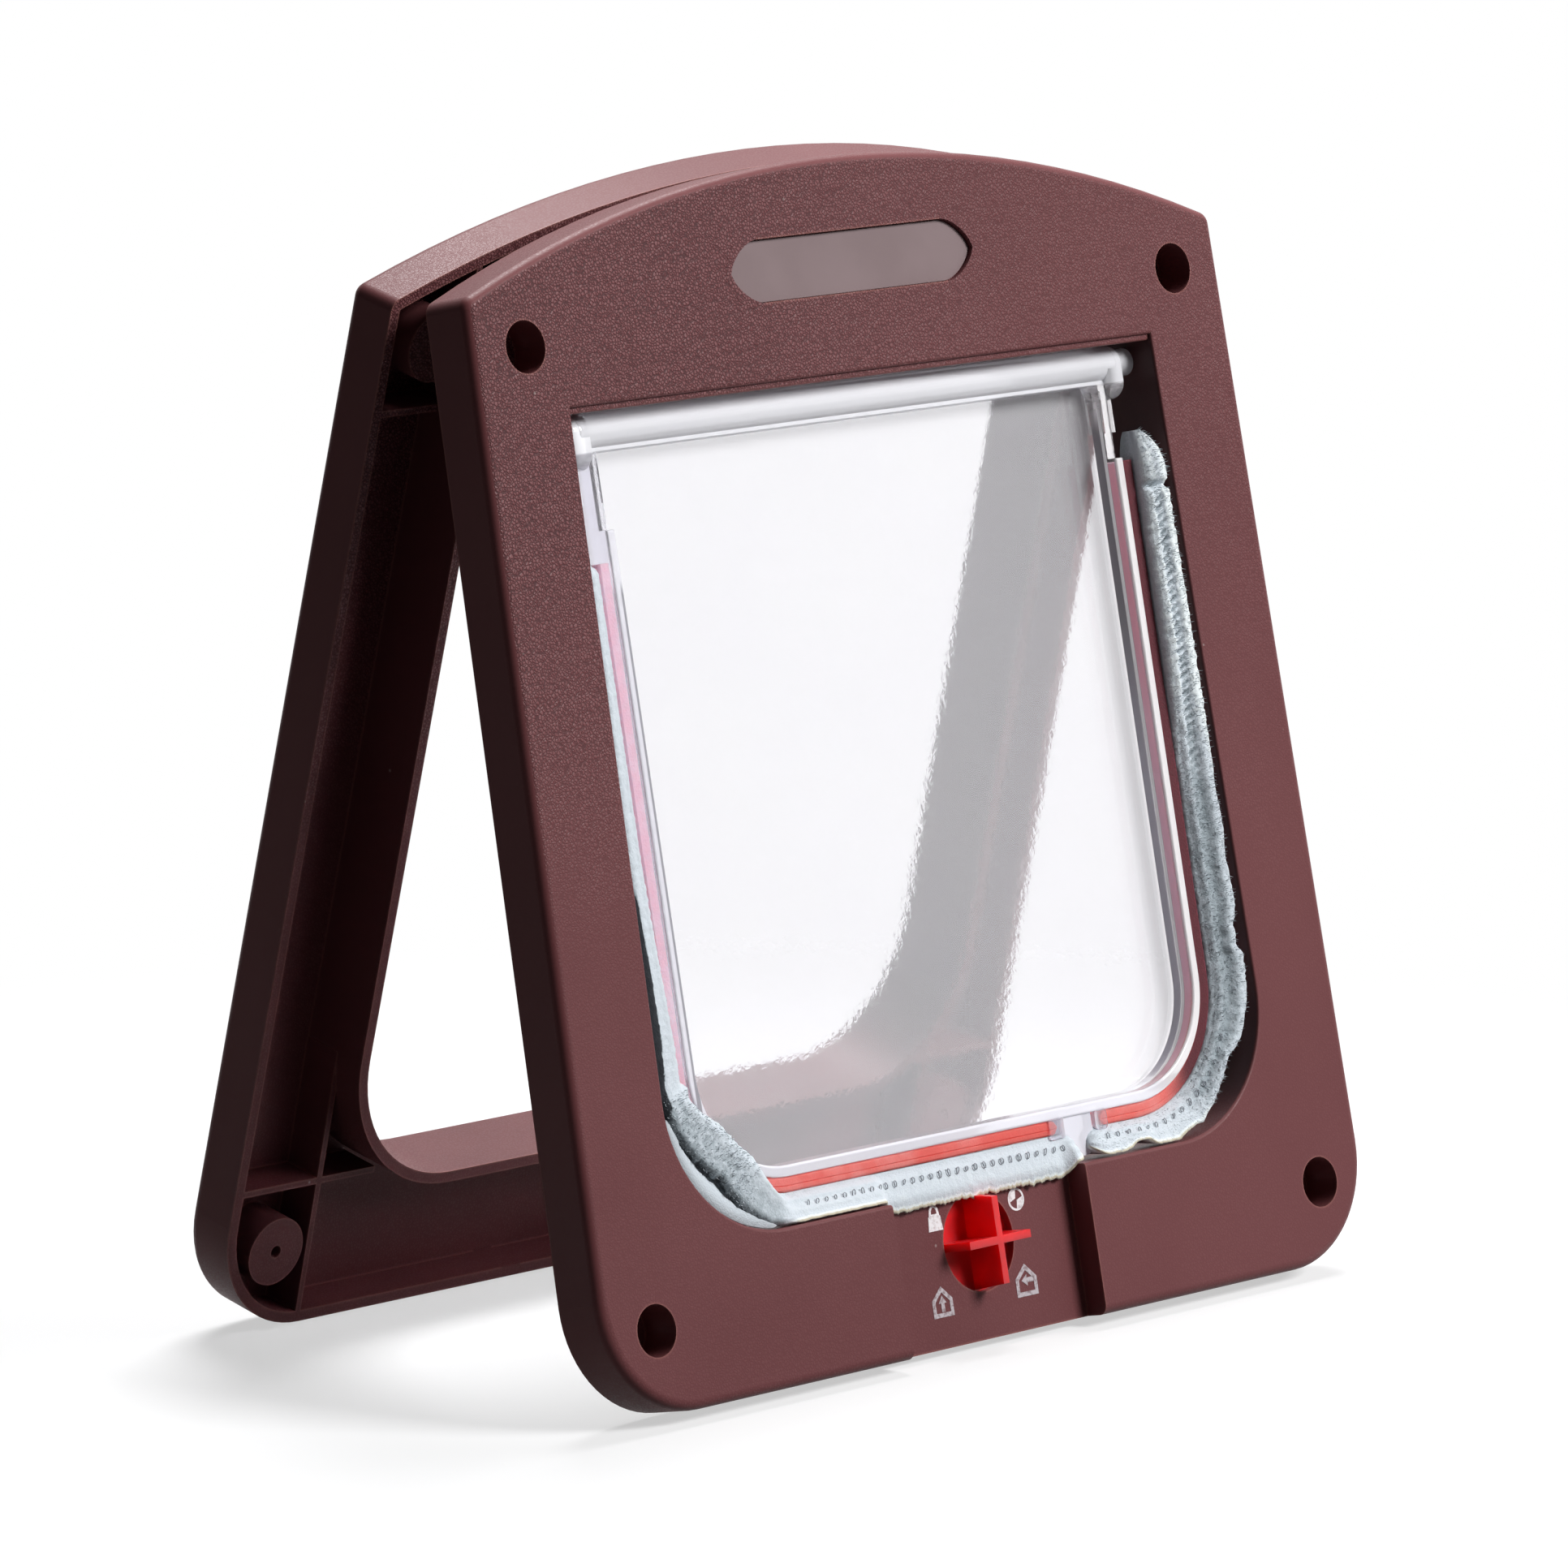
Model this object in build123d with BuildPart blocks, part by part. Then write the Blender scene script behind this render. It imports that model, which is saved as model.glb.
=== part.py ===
"""A four-way locking pet door: two arched frames leant together, with a clear flap and a rotary lock."""

import os
from math import cos, radians, sin, sqrt

from build123d import *

# Outline of both frames, in mm
foot_width = 190.0
arch_width = 182.3
shoulder_height = 186.7
arch_rise = 17.4
corner_radius = 20.0
shoulder_round = 2.4
frame_depth = 10.0
face_thickness = 2.4
wall_thickness = 2.0
edge_round = 1.8

# Opening and the collar that lines the hole in the door
side_border = 20.4
sill_height = 26.5
head_drop = 19.7
opening_radius = 24.0
collar_length = 6.0
lip_round = 0.6

# Ribs, screw bosses and their holes
rib_thickness = 1.2
boss_radius = 6.2
upper_screw_drop = 8.8
lower_screw_height = 14.4
screw_border = 12.0
head_hole_radius = 4.45
head_hole_depth = 7.4
shank_radius = 2.3
pilot_radius = 1.1
pilot_depth = 7.0

# Stance: how far each frame leans, and the gap where their crowns meet
lean_angle = 12.6
crown_gap = 0.1

# Overlap where blocks are joined or cut, how near counts as touching, and a quarter turn
overlap = 1.0
touching = 1e-4
quarter_turn = 90.0

# Bare name plate and sunk lock panel of the front frame
plate_length = 59.2
plate_width = 10.8
plate_depth = 1.1
plate_rise = 0.25
panel_half_width = 24.0
panel_depth = 4.65
panel_thickness = 1.7

# Clear flap
hinge_drop = 4.2
hinge_depth = 7.6
bar_radius = 3.4
bar_end_gap = 4.75
bar_end_round = 1.1
pivot_radius = 2.4
pivot_clearance = 0.06
pivot_end_gap = 0.3
flap_side_gap = 7.65
flap_bottom_lift = 8.0
flap_radius = 20.0
flap_wall = 2.0
rim_front = 3.7
leg_front = 5.6
rim_stop = 20.0
panel_front = 9.8
panel_back = 11.6
rim_round = 0.5
tab_width = 4.0
tab_low = 12.0
tab_high = 4.5
tab_front = 8.4
tab_back = 10.2
window_width = 2.0
window_height = 4.0
tongue_half_width = 6.0
tongue_front = 7.7
tongue_back = 8.9
tongue_gap = 1.9
lug_share = 0.44
lug_width = 7.0
lug_front = 4.2
lug_back = 8.2
lug_gap = 0.9
lug_round = 2.4

# Seal: red foam tape on the rim, with a pile strip on the tape
tape_thickness = 2.6
seal_front = 4.1
seal_back = 7.5
seal_gap = 0.5
left_tape_top = 22.0
right_tape_top = 17.2
pile_overrun = 4.0
strip_gap = 2.0
pile_notch_margin = 0.6

# Lock knob with its two cams
knob_height = 16.8
knob_hole_radius = 8.6
knob_clearance = 0.35
fin_thickness = 1.4
fin_front = -0.6
fin_taper = 0.7
disc_radius = 10.0
cam_reach = 13.5
cam_thickness = 0.9
cam_angle = 150.0
cam_clearance = 0.15
front_cam_start = 60.0
rear_cam_start = 150.0
rear_hub_radius = 5.0
slot_margin = 1.0
spindle_radius = 4.0
square_side = 5.0
square_clearance = 0.04

# Planes: each frame's outer face stands on the floor and leans to the middle
lean = radians(lean_angle)
crown_height = shoulder_height + arch_rise
foot_reach = crown_height * sin(lean) + crown_gap / 2 + frame_depth * cos(lean)
foot_lift = frame_depth * sin(lean)
front_face = Plane(
    origin=(0, -foot_reach, foot_lift), x_dir=(1, 0, 0), z_dir=(0, -cos(lean), sin(lean))
)
rear_face = Plane(
    origin=(0, foot_reach, foot_lift), x_dir=(-1, 0, 0), z_dir=(0, cos(lean), sin(lean))
)

# Values that follow from the sizes
side_slope = (foot_width - arch_width) / 2 / shoulder_height
head_height = shoulder_height - head_drop
arch_radius = (arch_width**2 / 4 + arch_rise**2) / (2 * arch_rise)
hinge_height = head_height - hinge_drop
hinge_half_width = foot_width / 2 - side_slope * hinge_height - side_border
bar_half_length = hinge_half_width - bar_end_gap
flap_half_width = hinge_half_width - flap_side_gap
lug_middle = lug_share * flap_half_width
flap_bottom = sill_height + flap_bottom_lift
rim_top = hinge_height - rim_stop + bar_radius
flap_top = hinge_height - bar_radius + flap_wall
panel_back_face = panel_depth + panel_thickness
front_cam_front = panel_back_face + cam_clearance
front_cam_back = front_cam_front + cam_thickness
rear_cam_back = frame_depth
rear_cam_front = rear_cam_back - cam_thickness
slot_half_width = sqrt(cam_reach**2 - (sill_height - wall_thickness - knob_height) ** 2)
slot_half_width += slot_margin


def half_width(height):
    """Half the outline's width at a height above the foot."""
    return foot_width / 2 - side_slope * height


def arch_height(across):
    """Height of the arch at a distance from the middle."""
    return crown_height - arch_radius + sqrt(arch_radius**2 - across**2)


def screw_places():
    """The four screw places as (across, height)."""
    upper = shoulder_height - upper_screw_drop
    places = []
    for height in (lower_screw_height, upper):
        across = half_width(height) - screw_border
        places += [(-across, height), (across, height)]
    return places


def frame_profile(plane, inset=0.0):
    """Arched outline with rounded lower corners, on a plane."""
    with BuildSketch(plane) as profile:
        with BuildLine():
            foot = Line((-foot_width / 2, 0), (foot_width / 2, 0))
            right = Line(foot @ 1, (arch_width / 2, shoulder_height))
            crown = ThreePointArc(right @ 1, (0, crown_height), (-arch_width / 2, shoulder_height))
            Line(crown @ 1, foot @ 0)
        make_face()
        fillet(profile.vertices().sort_by(Axis.Y)[:2], corner_radius)
        fillet(profile.vertices().sort_by(Axis.Y)[-2:], shoulder_round)
        if inset:
            offset(amount=-inset, kind=Kind.INTERSECTION, mode=Mode.REPLACE)
    return profile.sketch


def opening_profile(plane, outset=0.0):
    """Opening with square upper corners and rounded lower corners, on a plane."""
    low = half_width(sill_height) - side_border
    high = half_width(head_height) - side_border
    with BuildSketch(plane) as profile:
        with BuildLine():
            Polyline(
                (-low, sill_height),
                (low, sill_height),
                (high, head_height),
                (-high, head_height),
                close=True,
            )
        make_face()
        fillet(profile.vertices().sort_by(Axis.Y)[:2], opening_radius)
        if outset:
            offset(amount=outset, kind=Kind.INTERSECTION, mode=Mode.REPLACE)
    return profile.sketch


def flap_profile(plane, top, outset=0.0):
    """Flap outline up to a height, with rounded lower corners, on a plane."""
    across = flap_half_width + outset
    low = flap_bottom - outset
    with BuildSketch(plane) as profile:
        with Locations((0, (low + top) / 2)):
            Rectangle(2 * across, top - low)
        fillet(profile.vertices().sort_by(Axis.Y)[:2], flap_radius + outset)
    return profile.sketch


def box_profile(plane, left, right, low, high):
    """Rectangle between two sides and two heights, on a plane."""
    with BuildSketch(plane) as profile:
        with Locations(((left + right) / 2, (low + high) / 2)):
            Rectangle(right - left, high - low)
    return profile.sketch


def disc_profile(plane, places, radius):
    """Equal discs at (across, height) places, on a plane."""
    with BuildSketch(plane) as profile:
        with Locations(*places):
            Circle(radius)
    return profile.sketch


def rib_profile(plane):
    """Ribs that carry the collar's four sides on to the outer wall, on a plane."""
    low = half_width(sill_height) - side_border
    high = half_width(head_height) - side_border
    reach = wall_thickness / 2
    with BuildSketch(plane) as profile:
        for side in (-1, 1):
            for height, inner in ((sill_height, low - opening_radius / 2), (head_height, high)):
                outer = half_width(height) - reach
                with Locations((side * (inner + outer) / 2, height)):
                    Rectangle(outer - inner, rib_thickness)
            across = low + wall_thickness / 2
            with Locations((side * across, (reach + sill_height + opening_radius) / 2)):
                Rectangle(rib_thickness, sill_height + opening_radius - reach)
            across = high + wall_thickness / 2
            crown = arch_height(across) - reach
            with Locations((side * across, (head_height + crown) / 2)):
                Rectangle(rib_thickness, crown - head_height)
    return profile.sketch


def on_face(part, face):
    """Edges of a part that lie in a frame's outer face."""
    return part.edges().filter_by(lambda e: abs(face.to_local_coords(e.center()).Z) < touching)


def frame_shell(face):
    """Hollow frame behind an outer face: wall, collar round the opening, ribs and screw bosses."""
    inside = face.offset(-face_thickness)
    with BuildPart() as shell:
        extrude(frame_profile(face), amount=-frame_depth)
        fillet(on_face(shell, face), edge_round)
        extrude(
            frame_profile(inside, wall_thickness),
            amount=face_thickness - frame_depth,
            mode=Mode.SUBTRACT,
        )
        extrude(rib_profile(inside), amount=face_thickness - frame_depth)
        extrude(disc_profile(inside, screw_places(), boss_radius), amount=face_thickness - frame_depth)
        extrude(
            opening_profile(inside, wall_thickness), amount=face_thickness - frame_depth - collar_length
        )
        extrude(
            opening_profile(face), amount=-2 * (frame_depth + collar_length), mode=Mode.SUBTRACT
        )
        inner_edges = on_face(shell, face).filter_by(
            lambda e: abs(face.to_local_coords(e.center()).X)
            < half_width(face.to_local_coords(e.center()).Y) - side_border + lip_round
            and sill_height - overlap < face.to_local_coords(e.center()).Y < head_height + overlap
        )
        fillet(inner_edges, lip_round)
    return shell.part


def hinge_plane(offset_across=0.0):
    """Plane across the hinge line, facing along it."""
    centre = front_face.from_local_coords((offset_across, hinge_height, -hinge_depth))
    return Plane(origin=centre, x_dir=front_face.y_dir, z_dir=(1, 0, 0))


def at_depth(depth):
    """Plane at a depth behind the front frame's face."""
    return front_face.offset(-depth)


def cam_profile(plane, hub, start):
    """Hub with a raised sector that begins at an angle clockwise from straight up."""
    with BuildSketch(plane) as profile:
        with Locations((0, knob_height)):
            Circle(hub)
        first = quarter_turn - start
        with BuildLine():
            arc = CenterArc((0, knob_height), cam_reach, first - cam_angle, cam_angle)
            Line(arc @ 1, (0, knob_height))
            Line((0, knob_height), arc @ 0)
        make_face()
    return profile.sketch


os.makedirs("parts", exist_ok=True)

# Front frame
front_base = frame_shell(front_face)
with BuildPart() as front_frame:
    add(front_base)
    plate_height = (head_height + crown_height) / 2 + plate_rise
    with BuildSketch(at_depth(face_thickness)):
        with Locations((0, plate_height)):
            SlotOverall(plate_length + 2 * wall_thickness, plate_width + 2 * wall_thickness)
    extrude(amount=-plate_depth)
    with BuildSketch(front_face):
        with Locations((0, plate_height)):
            SlotOverall(plate_length, plate_width)
    extrude(amount=-plate_depth, mode=Mode.SUBTRACT)
    wide = panel_half_width + wall_thickness
    extrude(
        box_profile(at_depth(edge_round), -wide, wide, wall_thickness / 2, sill_height - lip_round),
        amount=edge_round - panel_back_face,
    )
    extrude(
        box_profile(
            at_depth(0), -panel_half_width, panel_half_width, -wall_thickness, sill_height + wall_thickness
        ),
        amount=-panel_depth,
        mode=Mode.SUBTRACT,
    )
    extrude(
        disc_profile(at_depth(0), [(0, knob_height)], knob_hole_radius),
        amount=-panel_back_face - cam_clearance,
        mode=Mode.SUBTRACT,
    )
    extrude(
        box_profile(
            at_depth(panel_back_face),
            -slot_half_width,
            slot_half_width,
            sill_height - 2 * wall_thickness,
            sill_height + wall_thickness,
        ),
        amount=panel_back_face - rear_cam_back - 2 * cam_clearance,
        mode=Mode.SUBTRACT,
    )
    extrude(
        disc_profile(front_face, screw_places(), head_hole_radius),
        amount=-head_hole_depth,
        mode=Mode.SUBTRACT,
    )
    extrude(
        disc_profile(front_face, screw_places(), shank_radius),
        amount=-2 * frame_depth,
        mode=Mode.SUBTRACT,
    )
    with BuildSketch(hinge_plane()):
        Circle(pivot_radius + pivot_clearance)
    bearing_reach = hinge_half_width + 1.5 * wall_thickness
    extrude(amount=bearing_reach, both=True, mode=Mode.SUBTRACT)
front_frame.part.label = "front_frame"
export_step(front_frame.part, "parts/front_frame.step")

# Rear frame
rear_base = frame_shell(rear_face)
with BuildPart() as rear_frame:
    add(rear_base)
    extrude(
        disc_profile(rear_face.offset(-frame_depth), screw_places(), pilot_radius),
        amount=pilot_depth,
        mode=Mode.SUBTRACT,
    )
rear_frame.part.label = "rear_frame"
export_step(rear_frame.part, "parts/rear_frame.step")

# Clear flap: tray with a raised rim, hinge bar, pivots, side tabs, catch tongue and lug
with BuildPart() as flap:
    extrude(flap_profile(at_depth(rim_front), rim_top), amount=rim_front - panel_back)
    extrude(
        box_profile(at_depth(leg_front), -flap_half_width, flap_half_width, rim_top - overlap, flap_top),
        amount=leg_front - panel_back,
    )
    extrude(
        flap_profile(at_depth(0), flap_top - flap_wall, -flap_wall),
        amount=-panel_front,
        mode=Mode.SUBTRACT,
    )
    rim_edges = flap.edges().filter_by(
        lambda e: abs(front_face.to_local_coords(e.center()).Z + rim_front) < touching
    )
    fillet(rim_edges, rim_round)
    with BuildSketch(hinge_plane()):
        Circle(bar_radius)
    extrude(amount=bar_half_length, both=True)
    bar_ends = flap.edges().filter_by(GeomType.CIRCLE).filter_by(
        lambda e: abs(abs(e.center().X) - bar_half_length) < touching
    )
    fillet(bar_ends, bar_end_round)
    with BuildSketch(hinge_plane()):
        Circle(pivot_radius)
    pivot_reach = hinge_half_width + wall_thickness - pivot_end_gap
    extrude(amount=pivot_reach, both=True)
    for side in (-1, 1):
        inner = flap_half_width - flap_wall / 2
        outer = flap_half_width + tab_width
        left, right = sorted((side * inner, side * outer))
        extrude(
            box_profile(
                at_depth(tab_front), left, right, hinge_height - tab_low, hinge_height - tab_high
            ),
            amount=tab_front - tab_back,
        )
        middle = side * (flap_half_width + tab_width / 2)
        window_middle = hinge_height - (tab_low + tab_high) / 2
        extrude(
            box_profile(
                at_depth(0),
                middle - window_width / 2,
                middle + window_width / 2,
                window_middle - window_height / 2,
                window_middle + window_height / 2,
            ),
            amount=-panel_back,
            mode=Mode.SUBTRACT,
        )
    extrude(
        box_profile(
            at_depth(tongue_front),
            -tongue_half_width,
            tongue_half_width,
            sill_height + tongue_gap,
            flap_bottom + flap_wall / 2,
        ),
        amount=tongue_front - tongue_back,
    )
    with BuildSketch(at_depth(lug_front)) as lug:
        lug_low = sill_height + lug_gap
        lug_high = flap_bottom + flap_wall / 2
        with Locations((lug_middle, (lug_low + lug_high) / 2)):
            Rectangle(lug_width, lug_high - lug_low)
        fillet(lug.vertices().sort_by(Axis.Y)[:2], lug_round)
    extrude(amount=lug_front - lug_back)
flap.part.label = "flap"
export_step(flap.part, "parts/flap.step")

# Seal strips: each is a red foam tape on the rim with a pile strip on the tape
gap_left = lug_middle - lug_width / 2 - strip_gap
gap_right = lug_middle + lug_width / 2 + strip_gap
far = foot_width
strips = {
    "left": (-far, gap_left, hinge_height - left_tape_top),
    "right": (gap_right, far, hinge_height - right_tape_top),
}
seal_plane = at_depth(seal_front)
seal_depth = seal_back - seal_front
for name, (left, right, top) in strips.items():
    with BuildPart() as tape:
        extrude(flap_profile(seal_plane, top, tape_thickness), amount=-seal_depth)
        extrude(flap_profile(seal_plane, top + overlap), amount=-seal_depth, mode=Mode.SUBTRACT)
        extrude(
            box_profile(seal_plane, left, right, 0, top + overlap), amount=-seal_depth, mode=Mode.INTERSECT
        )
    tape.part.label = f"{name}_tape"
    export_step(tape.part, f"parts/{name}_tape.step")
    pile_top = top + pile_overrun
    with BuildPart() as pile:
        extrude(opening_profile(seal_plane, -seal_gap), amount=-seal_depth)
        extrude(
            flap_profile(seal_plane, head_height, tape_thickness), amount=-seal_depth, mode=Mode.SUBTRACT
        )
        extrude(
            box_profile(seal_plane, left, right, 0, pile_top), amount=-seal_depth, mode=Mode.INTERSECT
        )
        if name == "left":
            notch = slot_half_width + pile_notch_margin
            extrude(
                box_profile(at_depth(panel_back_face), -notch, notch, 0, sill_height + tape_thickness * 2),
                amount=panel_back_face - seal_back,
                mode=Mode.SUBTRACT,
            )
    pile.part.label = f"{name}_pile"
    export_step(pile.part, f"parts/{name}_pile.step")

# Lock knob: cross of fins on a disc, front cam, round and square spindle
with BuildPart() as lock_knob:
    extrude(cam_profile(at_depth(front_cam_front), disc_radius, front_cam_start), amount=-cam_thickness)
    reach = knob_hole_radius - knob_clearance
    for turn in (0, quarter_turn):
        for depth, half in ((front_cam_front, reach), (fin_front, reach - fin_taper)):
            with BuildSketch(at_depth(depth)):
                with Locations(Location((0, knob_height), turn)):
                    Rectangle(2 * half, fin_thickness)
        loft()
    extrude(
        disc_profile(at_depth(front_cam_back), [(0, knob_height)], spindle_radius),
        amount=front_cam_back - rear_cam_front,
    )
    with BuildSketch(at_depth(rear_cam_front)):
        with Locations((0, knob_height)):
            Rectangle(square_side, square_side)
    extrude(amount=rear_cam_front - rear_cam_back)
lock_knob.part.label = "lock_knob"
export_step(lock_knob.part, "parts/lock_knob.step")

# Rear cam, pressed on the knob's square
with BuildPart() as rear_cam:
    extrude(cam_profile(at_depth(rear_cam_front), rear_hub_radius, rear_cam_start), amount=-cam_thickness)
    with BuildSketch(at_depth(rear_cam_front)):
        with Locations((0, knob_height)):
            Rectangle(square_side + 2 * square_clearance, square_side + 2 * square_clearance)
    extrude(amount=-cam_thickness, mode=Mode.SUBTRACT)
rear_cam.part.label = "rear_cam"
export_step(rear_cam.part, "parts/rear_cam.step")
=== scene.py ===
"""Looks of the pet door: brown frames, clear flap, red foam tape, pile seal and red lock knob."""

import random
from math import cos, pi, radians, sin

import bmesh
import bpy
from mathutils import Matrix, Vector, noise


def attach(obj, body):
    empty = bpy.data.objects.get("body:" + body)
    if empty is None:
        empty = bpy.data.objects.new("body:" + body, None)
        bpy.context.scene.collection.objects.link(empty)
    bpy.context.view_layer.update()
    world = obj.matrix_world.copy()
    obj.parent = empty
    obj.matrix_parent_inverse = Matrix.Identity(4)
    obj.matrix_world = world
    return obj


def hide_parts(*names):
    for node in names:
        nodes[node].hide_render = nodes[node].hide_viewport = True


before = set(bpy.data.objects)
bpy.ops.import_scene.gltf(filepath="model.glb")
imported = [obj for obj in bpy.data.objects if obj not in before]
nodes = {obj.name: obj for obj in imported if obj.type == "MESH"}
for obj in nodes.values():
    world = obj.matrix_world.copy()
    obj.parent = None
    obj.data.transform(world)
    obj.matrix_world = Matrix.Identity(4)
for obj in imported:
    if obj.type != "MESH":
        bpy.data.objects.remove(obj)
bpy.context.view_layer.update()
MM = 0.001
LEFT = -1
RIGHT = 1
LOWER = -1
UPPER = 1

# Sizes of the front frame and flap, in mm, as in the solids
LEAN = radians(12.6)
CROWN_HEIGHT = 204.1
SHOULDER_HEIGHT = 186.7
FRAME_DEPTH = 10.0
CROWN_GAP = 0.1
FOOT_HALF_WIDTH = 95.0
ARCH_HALF_WIDTH = 91.15
SIDE_SLOPE = (FOOT_HALF_WIDTH - ARCH_HALF_WIDTH) / SHOULDER_HEIGHT
SIDE_BORDER = 20.4
SILL_HEIGHT = 26.5
HEAD_HEIGHT = 167.0
OPENING_RADIUS = 24.0
HINGE_HEIGHT = 162.8
HINGE_DEPTH = 7.6
FLAP_HALF_WIDTH = 63.593
FLAP_BOTTOM = 34.5
FLAP_RADIUS = 20.0
FLAP_WALL = 2.0
RIM_FRONT = 3.7
PANEL_FRONT = 9.8
TAPE_THICKNESS = 2.6
TAPE_FRONT = 4.1
TAPE_BACK = 7.5
LEFT_TAPE_TOP = 140.8
RIGHT_TAPE_TOP = 145.6
LEFT_STRIP_END = 22.48
RIGHT_STRIP_START = 33.48
LEFT_PILE_END = LEFT_STRIP_END + 4.0
RIGHT_PILE_START = RIGHT_STRIP_START - 4.0
RIGHT_PILE_TOP = RIGHT_TAPE_TOP + 5.0
LOCK_PANEL_DEPTH = 4.65
LOCK_PANEL_HALF = 24.0
PLATE_HEIGHT = 185.8
PLATE_DEPTH = 1.1
PLATE_LENGTH = 59.2
PLATE_WIDTH = 10.8

# Front face: x across, y up the face, z out of the face
FOOT_REACH = CROWN_HEIGHT * sin(LEAN) + CROWN_GAP / 2 + FRAME_DEPTH * cos(LEAN)
FOOT_LIFT = FRAME_DEPTH * sin(LEAN)
FACE_TO_WORLD = Matrix((
    (MM, 0, 0, 0),
    (0, MM * sin(LEAN), -MM * cos(LEAN), -FOOT_REACH * MM),
    (0, MM * cos(LEAN), MM * sin(LEAN), FOOT_LIFT * MM),
    (0, 0, 0, 1),
))

# Colours, where a pair holds the two ends of a blend
BROWN = ((0.134, 0.041, 0.044), (0.154, 0.05, 0.053))
# The next two paint shade into the grain's creases and a highlight onto its peaks
CREASE_SHADE_BROWN = (0.05, 0.014, 0.016)
PEAK_HIGHLIGHT_BROWN = (0.27, 0.13, 0.135)
# Paler edge colour, partly wear and partly painted highlight
EDGE_WEAR_AND_HIGHLIGHT_BROWN = (0.34, 0.145, 0.125)
DUST = (0.5, 0.42, 0.4)
# Painted shade on the opening's inner walls
WALL_SHADE_BROWN = (0.01, 0.0035, 0.004)
PLATE_BROWN = ((0.195, 0.138, 0.142), (0.22, 0.158, 0.163))
RIM_LILAC = ((0.88, 0.87, 0.97), (0.95, 0.94, 1.0))
RIGHT_RIM = (0.99, 0.96, 0.97)
PANEL_CLEAR = ((0.965, 0.955, 0.995), (0.985, 0.98, 1.0))
BAR_WHITE = (0.96, 0.96, 1.0)
# Painted lines on the flap's right wall: shade, lit tape seen through the wall, and highlight
WALL_SHADE_LINE = ((0.42, 0.395, 0.47), (0.14, 0.12, 0.145))
WALL_SEEN_TAPE_PINK = ((1.0, 0.6, 0.74), (1.0, 0.42, 0.53))
WALL_HIGHLIGHT_LINE = (1.0, 1.0, 1.0)
# Painted shade line along the left rim
RIM_SHADE_GREY = (0.3, 0.29, 0.33)
CORAL = ((0.84, 0.13, 0.11), (0.92, 0.26, 0.24))
UPPER_PINK = ((0.96, 0.51, 0.63), (0.99, 0.61, 0.73))
# Painted shade: dark red on the right tape's outer part
FOAM_SHADE_RED = (0.1, 0.012, 0.02)
KNOB_RED = ((0.74, 0.006, 0.012), (0.82, 0.009, 0.015))
SCUFF_RED = (0.66, 0.06, 0.06)
PILE_DARK = (0.025, 0.028, 0.034)
PILE_MIDDLE = (0.36, 0.415, 0.45)
PILE_PALE = (0.66, 0.72, 0.775)
PILE_BRIGHT = (0.86, 0.92, 0.93)
PILE_CREAM = (0.66, 0.61, 0.47)
FRESH_INK = ((0.62, 0.55, 0.56), (0.85, 0.83, 0.85))
WORN_INK = ((0.24, 0.17, 0.18), (0.5, 0.45, 0.48))
THREAD_GREY = ((0.2, 0.22, 0.25), (0.38, 0.4, 0.44))
FLOOR_GREY = ((0.09, 0.09, 0.09), (0.94, 0.94, 0.95))

# Where the looks change on the frames and up the tape, as ranges in metres
GRAIN_HEIGHTS = (0.04, 0.19)
GRAIN_ACROSS = (-0.05, 0.06)
PANEL_EDGE = (-0.0265, -0.0215)
PANEL_EDGE_SOFT = 0.0005
PANEL_EDGE_TOP = (0.0265, 0.028)
WALL_START = (0.045, 0.05)
WALL_END = (0.076, 0.078)
WALL_SHADE_SHARE = 0.75
FOAM_PINK_HEIGHTS = (0.04, 0.058)

# Where the looks of the flap and its tape change, as ranges in mm
PANEL_BLEND = (PANEL_FRONT - 1.4, PANEL_FRONT - 0.3)
LUG_ACROSS = (22.5, 33.5)
LUG_SOFT = 2.0
LUG_TOP = (34.0, 36.0)
BAR_BLEND = (HINGE_HEIGHT - 3.8, HINGE_HEIGHT - 3.2)
EDGE_BLEND = (RIM_FRONT + 0.2, RIM_FRONT + 0.6)
SIDE_START = (46.0, 55.0)
# Depths of the painted shade, highlight and lit-tape lines on the right wall
SHADE_LINE_DEPTHS = (6.6, 8.5)
HIGHLIGHT_LINE_DEPTHS = (5.8, 6.7)
SEEN_TAPE_DEPTHS = (4.2, 5.9)
SEEN_TAPE_TOP = (RIGHT_TAPE_TOP - 0.5, RIGHT_TAPE_TOP)
LINE_SOFT = 0.15
LINE_TOP = (150.0, 158.0)
LINE_CHANGE = (85.0, 125.0)
WALL_FACE = (-FLAP_WALL - 0.6, -FLAP_WALL + 0.6)
WALL_FACE_SOFT = 0.3
RIM_LINE = (FLAP_WALL - FLAP_HALF_WIDTH - 0.9, FLAP_WALL - FLAP_HALF_WIDTH + 0.3)
RIM_LINE_SOFT = 0.2
RIM_LINE_TOP = (135.0, 138.0)
FOAM_SHADE_START = (0.06, 0.3)
FOAM_SHADE_ACROSS = (49.0, 58.0)

# How milky the flap's parts are and how strong its painted lines of shade and light, as shares
MILKY_LUG = 0.45
MILKY_BAR = 0.5
SEEN_TAPE_MILKY = 0.7
CLEARER_SIDE = 0.12
LINE_SHARE = 0.95
RIM_LINE_SHARE = 0.9


# Helpers for node materials
def new_material(name):
    """A material with one Principled shader, and its node tree."""
    material = bpy.data.materials.new(name)
    material.use_nodes = True
    tree = material.node_tree
    return material, tree, tree.nodes["Principled BSDF"]


def feed(socket, value):
    """Socket linked to another one, or given a constant value."""
    if isinstance(value, bpy.types.NodeSocket):
        socket.id_data.links.new(value, socket)
    else:
        socket.default_value = value


def set_shader(shader, inputs):
    """Several inputs of a shader, by name."""
    for key, value in inputs.items():
        feed(shader.inputs[key], value)


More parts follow.
